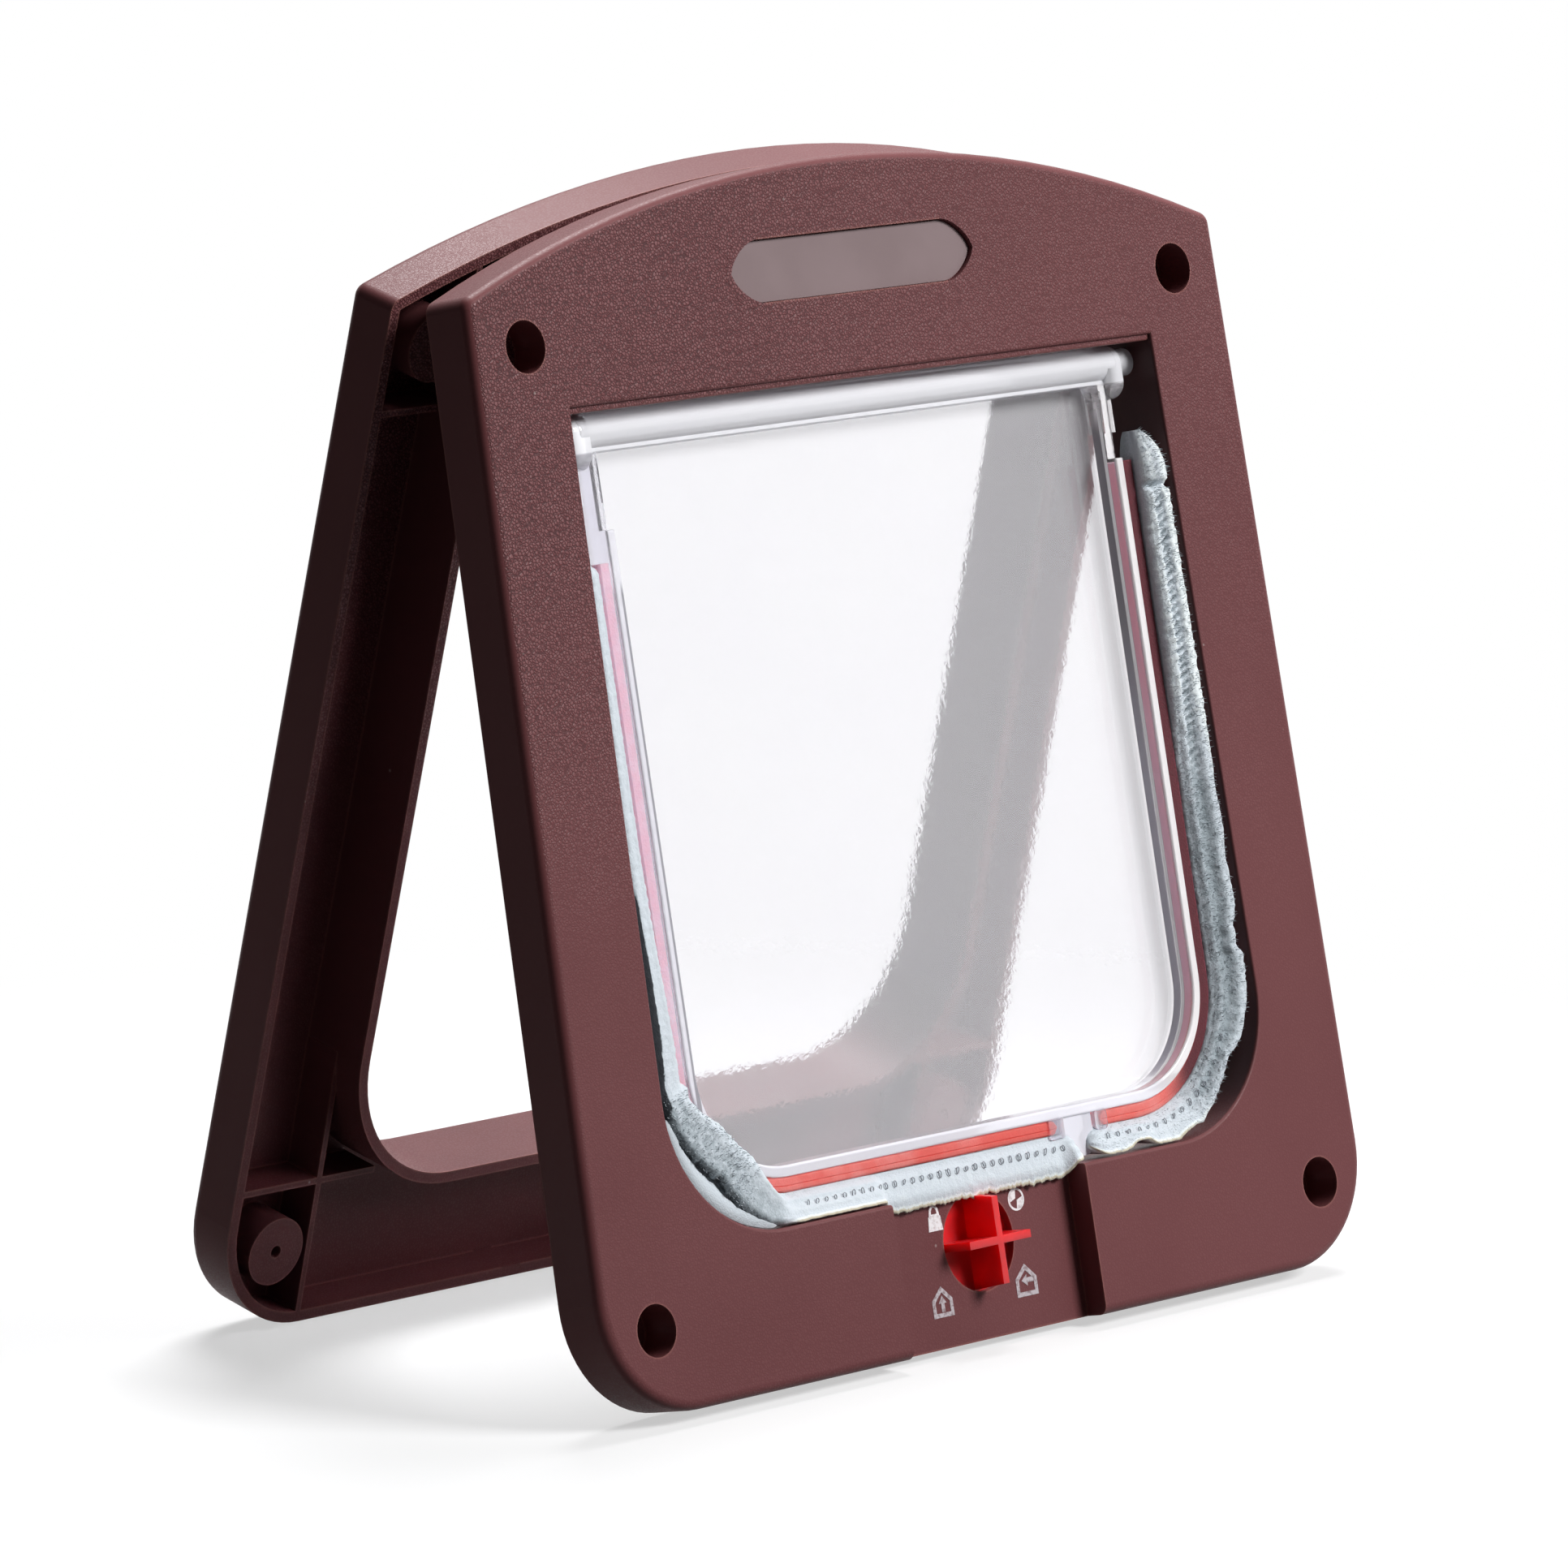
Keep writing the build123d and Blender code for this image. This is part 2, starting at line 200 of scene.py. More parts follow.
def add_node(tree, kind, settings=None, **inputs):
    """A node with its settings, and inputs by name or, as i0 and so on, by number."""
    made = tree.nodes.new(kind)
    for key, value in (settings or {}).items():
        setattr(made, key, value)
    for key, value in inputs.items():
        numbered = key[0] == "i" and key[1:].isdigit()
        feed(made.inputs[int(key[1:]) if numbered else key], value)
    return made


def object_place(tree):
    """Object coordinates."""
    return add_node(tree, "ShaderNodeTexCoord").outputs["Object"]


def split(vector):
    """The X, Y and Z parts of a vector."""
    return add_node(vector.id_data, "ShaderNodeSeparateXYZ", Vector=vector).outputs


def noise_value(place, scale, detail=2.0, roughness=0.5):
    """Noise from 0 to 1, with its scale per metre."""
    made = add_node(
        place.id_data, "ShaderNodeTexNoise", Vector=place, Scale=scale, Detail=detail,
        Roughness=roughness,
    )
    return made.outputs["Fac"]


def cell_distance(place, scale, feature="F1"):
    """Distance in a pattern of cells, with its scale per metre."""
    made = add_node(place.id_data, "ShaderNodeTexVoronoi", {"feature": feature}, Vector=place, Scale=scale)
    return made.outputs["Distance"]


def spread(value, low, high, to_low=0.0, to_high=1.0):
    """Value mapped smoothly from one range to another."""
    settings = {"interpolation_type": "SMOOTHSTEP"}
    made = add_node(value.id_data, "ShaderNodeMapRange", settings, i0=value)
    for index, limit in enumerate((low, high, to_low, to_high), start=1):
        made.inputs[index].default_value = limit
    return made.outputs[0]


def falling(value, low, high, most=1.0):
    """Share that falls smoothly to 0 over a range."""
    return spread(value, low, high, most, 0.0)


def maths(operation, first, second=0.0):
    """One arithmetic step, in which at least one value is a socket."""
    tree = (first if isinstance(first, bpy.types.NodeSocket) else second).id_data
    return add_node(tree, "ShaderNodeMath", {"operation": operation}, i0=first, i1=second).outputs[0]


def times(first, *others):
    """Product of several values."""
    for other in others:
        first = maths("MULTIPLY", first, other)
    return first


def plus(first, *others):
    """Sum of several values."""
    for other in others:
        first = maths("ADD", first, other)
    return first


def rest_of(share):
    """What a share leaves of 1."""
    return maths("SUBTRACT", 1.0, share)


def dot(first, second):
    """Dot product of two vectors."""
    settings = {"operation": "DOT_PRODUCT"}
    made = add_node(first.id_data, "ShaderNodeVectorMath", settings, i0=first, i1=second)
    return made.outputs["Value"]


def blend_colour(share, first, second):
    """Mix of two colours by a share."""
    made = add_node(share.id_data, "ShaderNodeMix", {"data_type": "RGBA"}, i0=share)
    for index, colour in ((6, first), (7, second)):
        linked = isinstance(colour, bpy.types.NodeSocket)
        feed(made.inputs[index], colour if linked else (*colour, 1.0))
    return made.outputs[2]


def bump(height, strength, distance):
    """Bumped normal from a height."""
    made = add_node(
        height.id_data, "ShaderNodeBump", Height=height, Strength=strength, Distance=distance
    )
    return made.outputs["Normal"]


def band_share(value, low, high, soft):
    """1 between two limits and 0 outside them, with soft edges inside the limits."""
    return times(spread(value, low, low + soft), falling(value, high - soft, high))


def face_place(place):
    """Place across, height up and depth behind the front face, in mm, from object coordinates."""
    across = maths("DIVIDE", split(place)["X"], MM)
    up = (0.0, sin(LEAN) / MM, cos(LEAN) / MM)
    height = plus(dot(place, up), FOOT_REACH * sin(LEAN) - FOOT_LIFT * cos(LEAN))
    back = (0.0, cos(LEAN) / MM, -sin(LEAN) / MM)
    depth = plus(dot(place, back), FOOT_REACH * cos(LEAN) + FOOT_LIFT * sin(LEAN))
    return across, height, depth


# Materials
def brown_plastic(name, edge_wear_and_highlight_share):
    """Moulded brown plastic: fine leather grain on its faces with painted shade in its creases and painted
    highlight on its peaks, dust specks, paler edges that are partly wear and partly painted highlight, and
    painted shade on the opening's inner walls.
    """
    material, tree, shader = new_material(name)
    place = object_place(tree)
    parts = split(place)
    plain = add_node(tree, "ShaderNodeNewGeometry").outputs["Normal"]
    facing = split(plain)
    clouds = noise_value(place, scale=22.0, detail=3.0)
    cells = cell_distance(place, scale=1700.0, feature="DISTANCE_TO_EDGE")
    fine = noise_value(place, scale=3200.0)
    grain = plus(spread(cells, 0.0, 0.3), times(fine, 0.5))
    patches = plus(spread(parts["Z"], *GRAIN_HEIGHTS), clouds, -0.5)
    broad = spread(maths("ABSOLUTE", facing["Y"]), 0.8, 0.95)
    weaker_right = spread(parts["X"], *GRAIN_ACROSS, 1.0, 0.5)
    grain_share = times(spread(patches, 0.0, 1.0, 0.15, 1.0), broad, weaker_right)
    tone = blend_colour(spread(clouds, 0.3, 0.7), *BROWN)
    # The grain's creases are painted darker as shade and its peaks paler as painted highlight.
    crease_shade = times(falling(grain, 0.25, 0.75), grain_share, 0.85)
    tone = blend_colour(crease_shade, tone, CREASE_SHADE_BROWN)
    peak_highlight = times(spread(grain, 0.95, 1.35), grain_share, 0.6)
    tone = blend_colour(peak_highlight, tone, PEAK_HIGHLIGHT_BROWN)
    specks = falling(cell_distance(place, scale=85.0), 0.014, 0.03, most=0.35)
    tone = blend_colour(specks, tone, DUST)
    rounded = add_node(tree, "ShaderNodeBevel", {"samples": 4}, Radius=0.7 * MM).outputs["Normal"]
    at_panel = band_share(parts["X"], *PANEL_EDGE, PANEL_EDGE_SOFT)
    kept = times(at_panel, falling(parts["Z"], *PANEL_EDGE_TOP))
    # Paler edges: partly wear, partly a painted highlight where rounded edges catch the light.
    edge_wear_and_highlight = falling(dot(rounded, plain), 0.8, 0.995, most=edge_wear_and_highlight_share)
    tone = blend_colour(times(edge_wear_and_highlight, rest_of(kept)), tone, EDGE_WEAR_AND_HIGHLIGHT_BROWN)
    # Painted shade darkens the opening's inner walls.
    tone = blend_colour(painted_wall_shade(parts, facing), tone, WALL_SHADE_BROWN)
    set_shader(shader, {
        "Base Color": tone,
        "Roughness": spread(grain, 0.3, 1.2, 0.5, 0.36),
        "Specular IOR Level": 0.15,
        "Normal": bump(times(grain, grain_share), strength=0.4, distance=0.25 * MM),
    })
    return material


def painted_wall_shade(parts, facing):
    """Share of the painted shade on the opening's upright walls, which face the middle."""
    inwards = times(facing["X"], maths("SIGN", parts["X"]), -1.0)
    reach = maths("ABSOLUTE", parts["X"])
    near = times(spread(reach, *WALL_START), falling(reach, *WALL_END))
    return times(spread(inwards, 0.3, 0.8), near, WALL_SHADE_SHARE)


def plate_plastic():
    """Smooth paler plastic of the bare name plate."""
    material, tree, shader = new_material("plate_plastic")
    place = object_place(tree)
    clouds = noise_value(place, scale=60.0, detail=3.0)
    fine = noise_value(place, scale=2200.0)
    set_shader(shader, {
        "Base Color": blend_colour(spread(clouds, 0.3, 0.7), *PLATE_BROWN),
        "Roughness": spread(fine, 0.3, 0.7, 0.38, 0.5),
        "Specular IOR Level": 0.25,
        "Normal": bump(fine, strength=0.08, distance=0.1 * MM),
    })
    return material


def clear_plastic(name, through_panel, through_rim, frost):
    """Clear moulded plastic: a milky panel in lilac rims, frosted front edges, a milky lug and bar, painted
    lines of shade, highlight and lit tape on the right wall, and a painted shade line along the left rim.
    """
    material, tree, shader = new_material(name)
    place = object_place(tree)
    across, height, depth = face_place(place)
    flow = noise_value(place, scale=38.0, detail=3.0, roughness=0.6)
    fine = noise_value(place, scale=900.0)
    sunk = spread(depth, *PANEL_BLEND)
    bar = spread(height, *BAR_BLEND)
    lug = times(band_share(across, *LUG_ACROSS, LUG_SOFT), falling(height, *LUG_TOP))
    edge = falling(depth, *EDGE_BLEND)
    milky = plus(times(lug, MILKY_LUG), times(bar, MILKY_BAR), times(edge, frost))
    side = spread(maths("ABSOLUTE", across), *SIDE_START)
    clearer = times(side, falling(sunk, 0.0, 1.0, most=CLEARER_SIDE), rest_of(bar))
    clear = plus(spread(sunk, 0.0, 1.0, through_rim, through_panel), clearer)
    clear = maths("SUBTRACT", clear, milky)
    wall = right_wall(across, height)
    # Painted lines on the right wall: a dark line of painted shade, a pale line of painted highlight and a
    # pink line that paints the lit tape behind the wall.
    dark = times(wall, band_share(depth, *SHADE_LINE_DEPTHS, LINE_SOFT))
    pale = times(wall, band_share(depth, *HIGHLIGHT_LINE_DEPTHS, LINE_SOFT))
    pink = times(wall, band_share(depth, *SEEN_TAPE_DEPTHS, LINE_SOFT), falling(height, *SEEN_TAPE_TOP))
    clear = times(clear, rest_of(plus(dark, pale, times(pink, SEEN_TAPE_MILKY))))
    rim_tone = blend_colour(flow, *RIM_LILAC)
    rim_tone = blend_colour(spread(across, *SIDE_START), rim_tone, RIGHT_RIM)
    tone = blend_colour(sunk, rim_tone, blend_colour(flow, *PANEL_CLEAR))
    tone = blend_colour(bar, tone, BAR_WHITE)
    upper = spread(height, *LINE_CHANGE)
    tone = blend_colour(dark, tone, blend_colour(upper, *WALL_SHADE_LINE))
    tone = blend_colour(pale, tone, WALL_HIGHLIGHT_LINE)
    tone = blend_colour(pink, tone, blend_colour(upper, *WALL_SEEN_TAPE_PINK))
    # Painted shade line along the inner edge of the left rim.
    tone = blend_colour(rim_shade_line(across, height), tone, RIM_SHADE_GREY)
    waves = plus(times(flow, 3.0), fine)
    set_shader(shader, {
        "Base Color": tone,
        "Transmission Weight": clear,
        "Roughness": spread(fine, 0.3, 0.7, 0.03, 0.08),
        "IOR": 1.49,
        "Normal": bump(waves, strength=0.03, distance=0.4 * MM),
    })
    return material


def past_outline(across, height):
    """Distance in mm outside the flap's right and lower right outline, less than 0 inside it."""
    past_across = maths("SUBTRACT", across, FLAP_HALF_WIDTH - FLAP_RADIUS)
    past_height = maths("SUBTRACT", FLAP_BOTTOM + FLAP_RADIUS, height)
    past_across = maths("MAXIMUM", past_across, 0.0)
    past_height = maths("MAXIMUM", past_height, 0.0)
    squares = plus(times(past_across, past_across), times(past_height, past_height))
    return maths("SUBTRACT", maths("SQRT", squares), FLAP_RADIUS)


def right_wall(across, height):
    """Share of the right wall's inner face, where the painted shade, highlight and lit-tape lines go; it
    fades out along the bottom and near the bar.
    """
    face = band_share(past_outline(across, height), *WALL_FACE, WALL_FACE_SOFT)
    side = spread(across, *SIDE_START)
    return times(face, side, falling(height, *LINE_TOP, most=LINE_SHARE))


def rim_shade_line(across, height):
    """Share of the painted shade line, in grey, along the inner edge of the left rim."""
    line = band_share(across, *RIM_LINE, RIM_LINE_SOFT)
    return times(line, falling(height, *RIM_LINE_TOP, most=RIM_LINE_SHARE))


def red_foam():
    """Soft red foam tape with fine cells: coral below, pinker above, and dark red painted shade on the
    right tape's outer part.
    """
    material, tree, shader = new_material("red_foam")
    place = object_place(tree)
    across, height, _ = face_place(place)
    patches = spread(noise_value(place, scale=130.0, detail=3.0), 0.35, 0.75)
    coral = blend_colour(patches, *CORAL)
    pinker_above = blend_colour(patches, *UPPER_PINK)
    tone = blend_colour(spread(split(place)["Z"], *FOAM_PINK_HEIGHTS), coral, pinker_above)
    # Painted shade: the right tape's outer part is darkened to dark red.
    outside = past_outline(across, height)
    dark = times(spread(outside, *FOAM_SHADE_START), spread(across, *FOAM_SHADE_ACROSS))
    set_shader(shader, {
        "Base Color": blend_colour(dark, tone, FOAM_SHADE_RED),
        "Roughness": 0.6,
        "Specular IOR Level": 0.25,
        "Subsurface Weight": 0.8,
        "Subsurface Radius": (4.0 * MM, 2.5 * MM, 2.5 * MM),
        "Subsurface Scale": 1.0,
        "Normal": bump(cell_distance(place, scale=2600.0), strength=0.25, distance=0.2 * MM),
    })
    return material


def red_plastic():
    """Satin red plastic of the lock knob, with faint scuffs."""
    material, tree, shader = new_material("red_plastic")
    place = object_place(tree)
    clouds = noise_value(place, scale=260.0, detail=3.0)
    scuffs = noise_value(place, scale=1500.0, detail=3.0, roughness=0.7)
    tone = blend_colour(spread(clouds, 0.3, 0.7), *KNOB_RED)
    set_shader(shader, {
        "Base Color": blend_colour(spread(scuffs, 0.68, 0.8, 0.0, 0.5), tone, SCUFF_RED),
        "Subsurface Weight": 1.0,
        "Subsurface Radius": (3.5 * MM, 0.2 * MM, 0.2 * MM),
        "Subsurface Scale": 1.0,
        "Roughness": spread(scuffs, 0.35, 0.75, 0.28, 0.45),
        "Normal": bump(scuffs, strength=0.06, distance=0.2 * MM),
    })
    return material


# Tone that marks the pile's cut edge, and the attribute that holds the tones
CUT_EDGE_TONE = 2.2
PILE_MARK = "pile_tone"


def pile_fabric():
    """Woven pile: tone follows the pile's own attribute, with fibre noise and sheen."""
    material, tree, shader = new_material("grey_pile")
    place = object_place(tree)
    mark = add_node(tree, "ShaderNodeAttribute", {"attribute_name": PILE_MARK}).outputs["Fac"]
    fibres = noise_value(place, scale=2300.0, detail=3.0, roughness=0.7)
    clumps = noise_value(place, scale=420.0, detail=3.0, roughness=0.6)
    height = plus(fibres, clumps)
    level = plus(mark, times(plus(height, -1.0), 0.5))
    tone = blend_colour(spread(level, 0.0, 0.45), PILE_DARK, PILE_MIDDLE)
    tone = blend_colour(spread(level, 0.45, 1.0), tone, PILE_PALE)
    # The brightest tones come from the painted light on the upper right pile and the bottom run.
    tone = blend_colour(spread(level, 1.05, 1.55), tone, PILE_BRIGHT)
    cut = spread(mark, CUT_EDGE_TONE - 0.5, CUT_EDGE_TONE)
    set_shader(shader, {
        "Base Color": blend_colour(cut, tone, PILE_CREAM),
        "Roughness": 0.9,
        "Specular IOR Level": 0.15,
        "Sheen Weight": 0.25,
        "Sheen Roughness": 0.5,
        "Normal": bump(height, strength=0.4, distance=0.4 * MM),
    })
    return material


def printed_white(name, tones):
    """White printed signs with thin patches in the ink."""
    material, tree, shader = new_material(name)
    patches = noise_value(object_place(tree), scale=1600.0)
    set_shader(shader, {
        "Base Color": blend_colour(spread(patches, 0.3, 0.6), *tones),
        "Roughness": spread(patches, 0.3, 0.7, 0.45, 0.6),
    })
    return material


def stitch_thread():
    """Grey sewing thread with a twisted shade."""
    material, tree, shader = new_material("stitch_thread")
    twist = noise_value(object_place(tree), scale=3000.0)
    set_shader(shader, {
        "Base Color": blend_colour(twist, *THREAD_GREY),
        "Roughness": 0.85,
        "Normal": bump(twist, strength=0.4, distance=0.1 * MM),
    })
    return material


foam = red_foam()
brown = brown_plastic("brown_plastic", edge_wear_and_highlight_share=0.7)
brown_fill = brown_plastic("brown_fill", edge_wear_and_highlight_share=0.0)
clear_flap = clear_plastic("clear_flap", through_panel=0.77, through_rim=0.84, frost=0.6)
clear_end = clear_plastic("clear_end", through_panel=0.85, through_rim=0.85, frost=0.0)
clear_lobe = clear_plastic("clear_lobe", through_panel=0.78, through_rim=0.78, frost=0.2)
milky_lobe = clear_plastic("milky_lobe", through_panel=0.4, through_rim=0.4, frost=0.0)
red = red_plastic()
plate_finish = plate_plastic()
sign_ink = printed_white("printed_white", FRESH_INK)
worn_ink = printed_white("worn_white", WORN_INK)
thread = stitch_thread()
grey_pile = pile_fabric()


# Helpers for pieces
def finish_piece(name, bm, material, body, smooth=True):
    """Mesh in face coordinates made a piece that rides on a body."""
    bmesh.ops.transform(bm, matrix=FACE_TO_WORLD, verts=bm.verts)
    mesh = bpy.data.meshes.new(name)
    bm.to_mesh(mesh)
    bm.free()
    mesh.materials.append(material)
    mesh.polygons.foreach_set("use_smooth", [smooth] * len(mesh.polygons))
    piece = bpy.data.objects.new(name, mesh)
    bpy.context.scene.collection.objects.link(piece)
    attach(piece, body)
    return piece


def ease(value, low, high):
    """Smooth step from 0 to 1 between two limits."""
    share = max(0.0, min(1.0, (value - low) / (high - low)))
    return share * share * (3.0 - 2.0 * share)


def curve_at(points, share):
    """Smooth curve through (share, value) points."""
    for (left, first), (right, second) in zip(points, points[1:]):
        if share <= right:
            return first + (second - first) * ease(share, left, right)
    return points[-1][1]


def round_end(distance, length, blunt=0.5):
    """Width share of a rounded end at a distance from its tip; a blunt of 1 gives a pointed end."""
    past = 1.0 - min(1.0, max(0.02, distance / length))
    return (1.0 - past * past) ** blunt


def swept(rings):
    """Closed tube through rings of points, with both ends filled."""
    columns = len(rings[0])
    bm = bmesh.new()
    bmesh.ops.create_grid(bm, x_segments=columns, y_segments=len(rings) - 1, size=1.0)
    bm.verts.ensure_lookup_table()
    for row, ring in enumerate(rings):
        for column in range(columns + 1):
            bm.verts[row * (columns + 1) + column].co = ring[column % columns]
    bmesh.ops.remove_doubles(bm, verts=bm.verts, dist=1e-5)
    bmesh.ops.holes_fill(bm, edges=bm.edges, sides=0)
    bmesh.ops.recalc_face_normals(bm, faces=bm.faces)
    return bm


def raise_faces(bm, faces, height):
    """Flat faces given a thickness upwards; gives the raised corners."""
    made = bmesh.ops.extrude_face_region(bm, geom=faces)
    raised = [v for v in made["geom"] if isinstance(v, bmesh.types.BMVert)]
    bmesh.ops.translate(bm, vec=(0, 0, height), verts=raised)
    return raised


def round_edges(bm, edges, offset, segments):
    """Edges rounded by a bevel, with the normals made to face outwards."""
    bmesh.ops.bevel(
        bm, geom=edges, offset=offset, segments=segments, profile=0.5, affect="EDGES", material=-1
    )
    bmesh.ops.recalc_face_normals(bm, faces=bm.faces)


def edges_among(bm, verts):
    """Edges with both ends among some corners."""
    return [e for e in bm.edges if all(v in verts for v in e.verts)]


def filled_face(bm, corners):
    """One flat face."""
    return bm.faces.new([bm.verts.new((x, y, 0.0)) for x, y in corners])


def add_block(bm, left, right, low, high, front, back):
    """Block between limits across, up and behind the front face."""
    bmesh.ops.create_cube(bm, size=1.0)
    bmesh.ops.scale(bm, vec=(right - left, high - low, back - front), verts=bm.verts)
    middle = ((left + right) / 2, (low + high) / 2, -(front + back) / 2)
    bmesh.ops.translate(bm, vec=middle, verts=bm.verts)


# Shape of the opening
WALL_SEARCH = 20.0
WALL_SEARCH_STEPS = 24
PANEL_END_SOFT = 2.0


def opening_half(height):
    """Half the opening's width at a height."""
    return FOOT_HALF_WIDTH - SIDE_SLOPE * height - SIDE_BORDER


def in_opening(across, height):
    """Whether a point lies inside the opening."""
    if height < SILL_HEIGHT or abs(across) > opening_half(height):
        return False
    corner_height = SILL_HEIGHT + OPENING_RADIUS
    corner_across = opening_half(corner_height) - OPENING_RADIUS
    past_across = abs(across) - corner_across
    past_height = corner_height - height
    if past_across > 0 and past_height > 0:
        return past_across**2 + past_height**2 < OPENING_RADIUS**2
    return True


def wall_reach(across, height, out_across, out_height):
    """Distance from a point to the opening's wall along an outward direction."""
    near = 0.0
    far = WALL_SEARCH
    for _ in range(WALL_SEARCH_STEPS):
        middle = (near + far) / 2
        if in_opening(across + middle * out_across, height + middle * out_height):
            near = middle
        else:
            far = middle
    return near


def lock_gap(across):
    """How far the sill is open for the lock panel at a place across, from 0 to 1."""
    return max(0.0, min(1.0, (LOCK_PANEL_HALF - abs(across)) / PANEL_END_SOFT))


def strip_stations(side, top, end, outset, step):
    """Stations down one side, round the lower corner and along the bottom, as (place, outward)."""
    half = FLAP_HALF_WIDTH + outset
    low = FLAP_BOTTOM - outset
    radius = FLAP_RADIUS + outset
    corner_across = half - radius
    corner_height = low + radius
    runs = []
    count = int((top - corner_height) / step)
    for index in range(count):
        runs.append(((half, top - (top - corner_height) * index / count), (1.0, 0.0)))
    count = int(radius * pi / 2 / step)
    for index in range(count):
        angle = -pi / 2 * index / count
        out = (cos(angle), sin(angle))
        runs.append(((corner_across + radius * out[0], corner_height + radius * out[1]), out))
    bottom_end = side * end
    count = max(2, int((corner_across - bottom_end) / step))
    for index in range(count + 1):
        runs.append(((corner_across + (bottom_end - corner_across) * index / count, low), (0.0, -1.0)))
    return [((side * p[0], p[1]), (side * o[0], o[1])) for p, o in runs]


def station_point(station, across, depth):
    """Point at a distance outwards from a station and a depth behind the face."""
    (u, v), (out_u, out_v) = station
    return Vector((u + across * out_u, v + across * out_v, -depth))


# Foam tape
TAPE_STEP = 0.5
TAPE_SKIN = 0.02
TAPE_END_ROUND = 1.3
GROOVE_START = (0.6, 0.95)

# Points over the tape's front, as (distance out, depth, more depth where it is grooved)
TAPE_FACE = (
    (TAPE_SKIN, 0.35, 0.0), (0.3, 0.0, 0.0), (1.4, 0.0, 0.0), (1.55, 0.0, 0.2), (1.7, 0.0, 0.08),
    (2.25, 0.0, 0.1), (TAPE_THICKNESS - TAPE_SKIN, 0.45, 0.0),
)


def make_tape(name, side, top, end, node):
    """Foam tape with a shallow groove along its front and a rounded lower end."""
    stations = strip_stations(side, top, end, 0.0, TAPE_STEP)
    middle = TAPE_THICKNESS / 2
    rings = []
    for index, station in enumerate(stations):
        groove = ease(-station[1][1], *GROOVE_START)
        section = [(TAPE_SKIN, TAPE_BACK)]
        section += [(out, TAPE_FRONT + depth + more * groove) for out, depth, more in TAPE_FACE]
        section.append((TAPE_THICKNESS - TAPE_SKIN, TAPE_BACK))
        share = round_end((len(stations) - 1 - index) * TAPE_STEP, TAPE_END_ROUND)
        rings.append([
            station_point(station, middle + (out - middle) * share, depth) for out, depth in section
        ])
    tape = finish_piece(name, swept(rings), foam, "flap", smooth=False)
    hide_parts(node)


# Depth and tone of the pile's front from the tape out to the wall
RIGHT_FRONT = ((0.0, 4.0), (0.25, 2.6), (0.45, 2.4), (0.75, 1.0), (1.0, 1.0))
RIGHT_TONE = ((0.0, 0.6), (0.22, 0.65), (0.42, 0.42), (0.7, 0.7), (1.0, 1.0))
UPPER_FRONT = ((0.0, 2.0), (0.15, 1.3), (0.45, 1.1), (0.75, 0.6), (1.0, 0.8))
LEFT_FRONT = ((0.0, 4.4), (0.3, 3.0), (0.7, 2.4), (1.0, 3.0))
LEFT_TONE = ((0.0, 1.05), (0.4, 1.0), (0.75, 0.9), (1.0, 0.95))
BOTTOM_FRONT = ((0.0, 4.4), (0.3, 3.5), (0.7, 3.0), (1.0, 3.5))
SILL_FRONT = ((0.0, 4.4), (0.3, 3.0), (0.7, 1.8), (1.0, 1.0))
# Painted light: the bottom run's tones are paler where its flat-lying pile faces the lamps.
BOTTOM_TONE = ((0.0, 0.95), (0.5, 1.1), (1.0, 1.05))
CORNER_FRONT = ((0.0, 2.6), (0.2, 1.2), (0.5, 1.3), (0.85, 1.1), (1.0, 2.4))
# Painted shade: at its outer edge the corner tone falls to a dark line.
CORNER_TONE = ((0.0, 1.1), (0.25, 0.9), (0.5, 0.7), (0.8, 0.7), (0.92, 0.2), (1.0, 0.0))

# Outline of the pile, in mm or as shares
PILE_STEP = 0.35
PILE_COLUMNS = 18
PILE_BACK = 7.3
CORNER_BACK = 3.4
CORNER_BACK_START = (0.02, 0.2)
PILE_WALL_GAP = 0.6
PILE_MOST = 6.5
RIGHT_CORNER_MOST = 4.3
LEFT_CORNER_MOST = 3.4
PILE_INNER = 0.05
CORNER_LEAN = 5.2
LEAN_START = (0.25, 1.0)
BOTTOM_START = (0.75, 0.99)
BOTTOM_OVER = 0.35
TAPE_COVER = 1.8
COVER_END = (0.1, 0.7)
LOW_HEIGHTS = (56.0, 94.0)
DROOP = 2.4
RAGGED_DROOP = 0.9
DROOP_LEAST = 0.05
DROOP_CLEARANCE = 0.1
NOTCH_DEPTH = 1.3
NOTCH_RATE = 0.16
NOTCH_LEVELS = (-0.25, 0.45)
NOTCH_HEIGHTS = (62.0, 96.0)

# Ragged edges, as size in mm and waves per mm, and how much of it each edge takes
BROAD_RAG = (0.5, 0.55)
FINE_RAG = (0.35, 1.9)
RAG_AT_MOST = 0.6
RAG_AT_WALL = 0.3
RAG_INSIDE = 0.3

# Ribs, fold and rounded ends of the pile
UPPER_HEIGHTS = (85.0, 115.0)
RIB_HEIGHTS = (78.0, 108.0)
RIB_STEP = 1.5
RIB_SLANT = 0.6
RIB_DEPTH = 0.6
FURROW_START = (0.2, 0.34)
FURROW_END = (0.52, 0.66)
# Painted light on the upper part, and painted shade in the fold
UPPER_PAINTED_LIGHT = 0.7
TUFT_FOLD = 140.5
TUFT_BULGE = 0.9
TUFT_BULGE_RISE = 1.5
TUFT_RISE = 2.0
FOLD_HALF = 1.1
FOLD_DEPTH = 1.2
FOLD_SHADE = 0.45
TOP_ROUND = 7.5
TOP_BLUNT = 0.7
END_ROUND = 2.5
END_START = 0.3
CUT_EDGE = (0.84, 0.94)
LIFT_START = (0.05, 0.5)

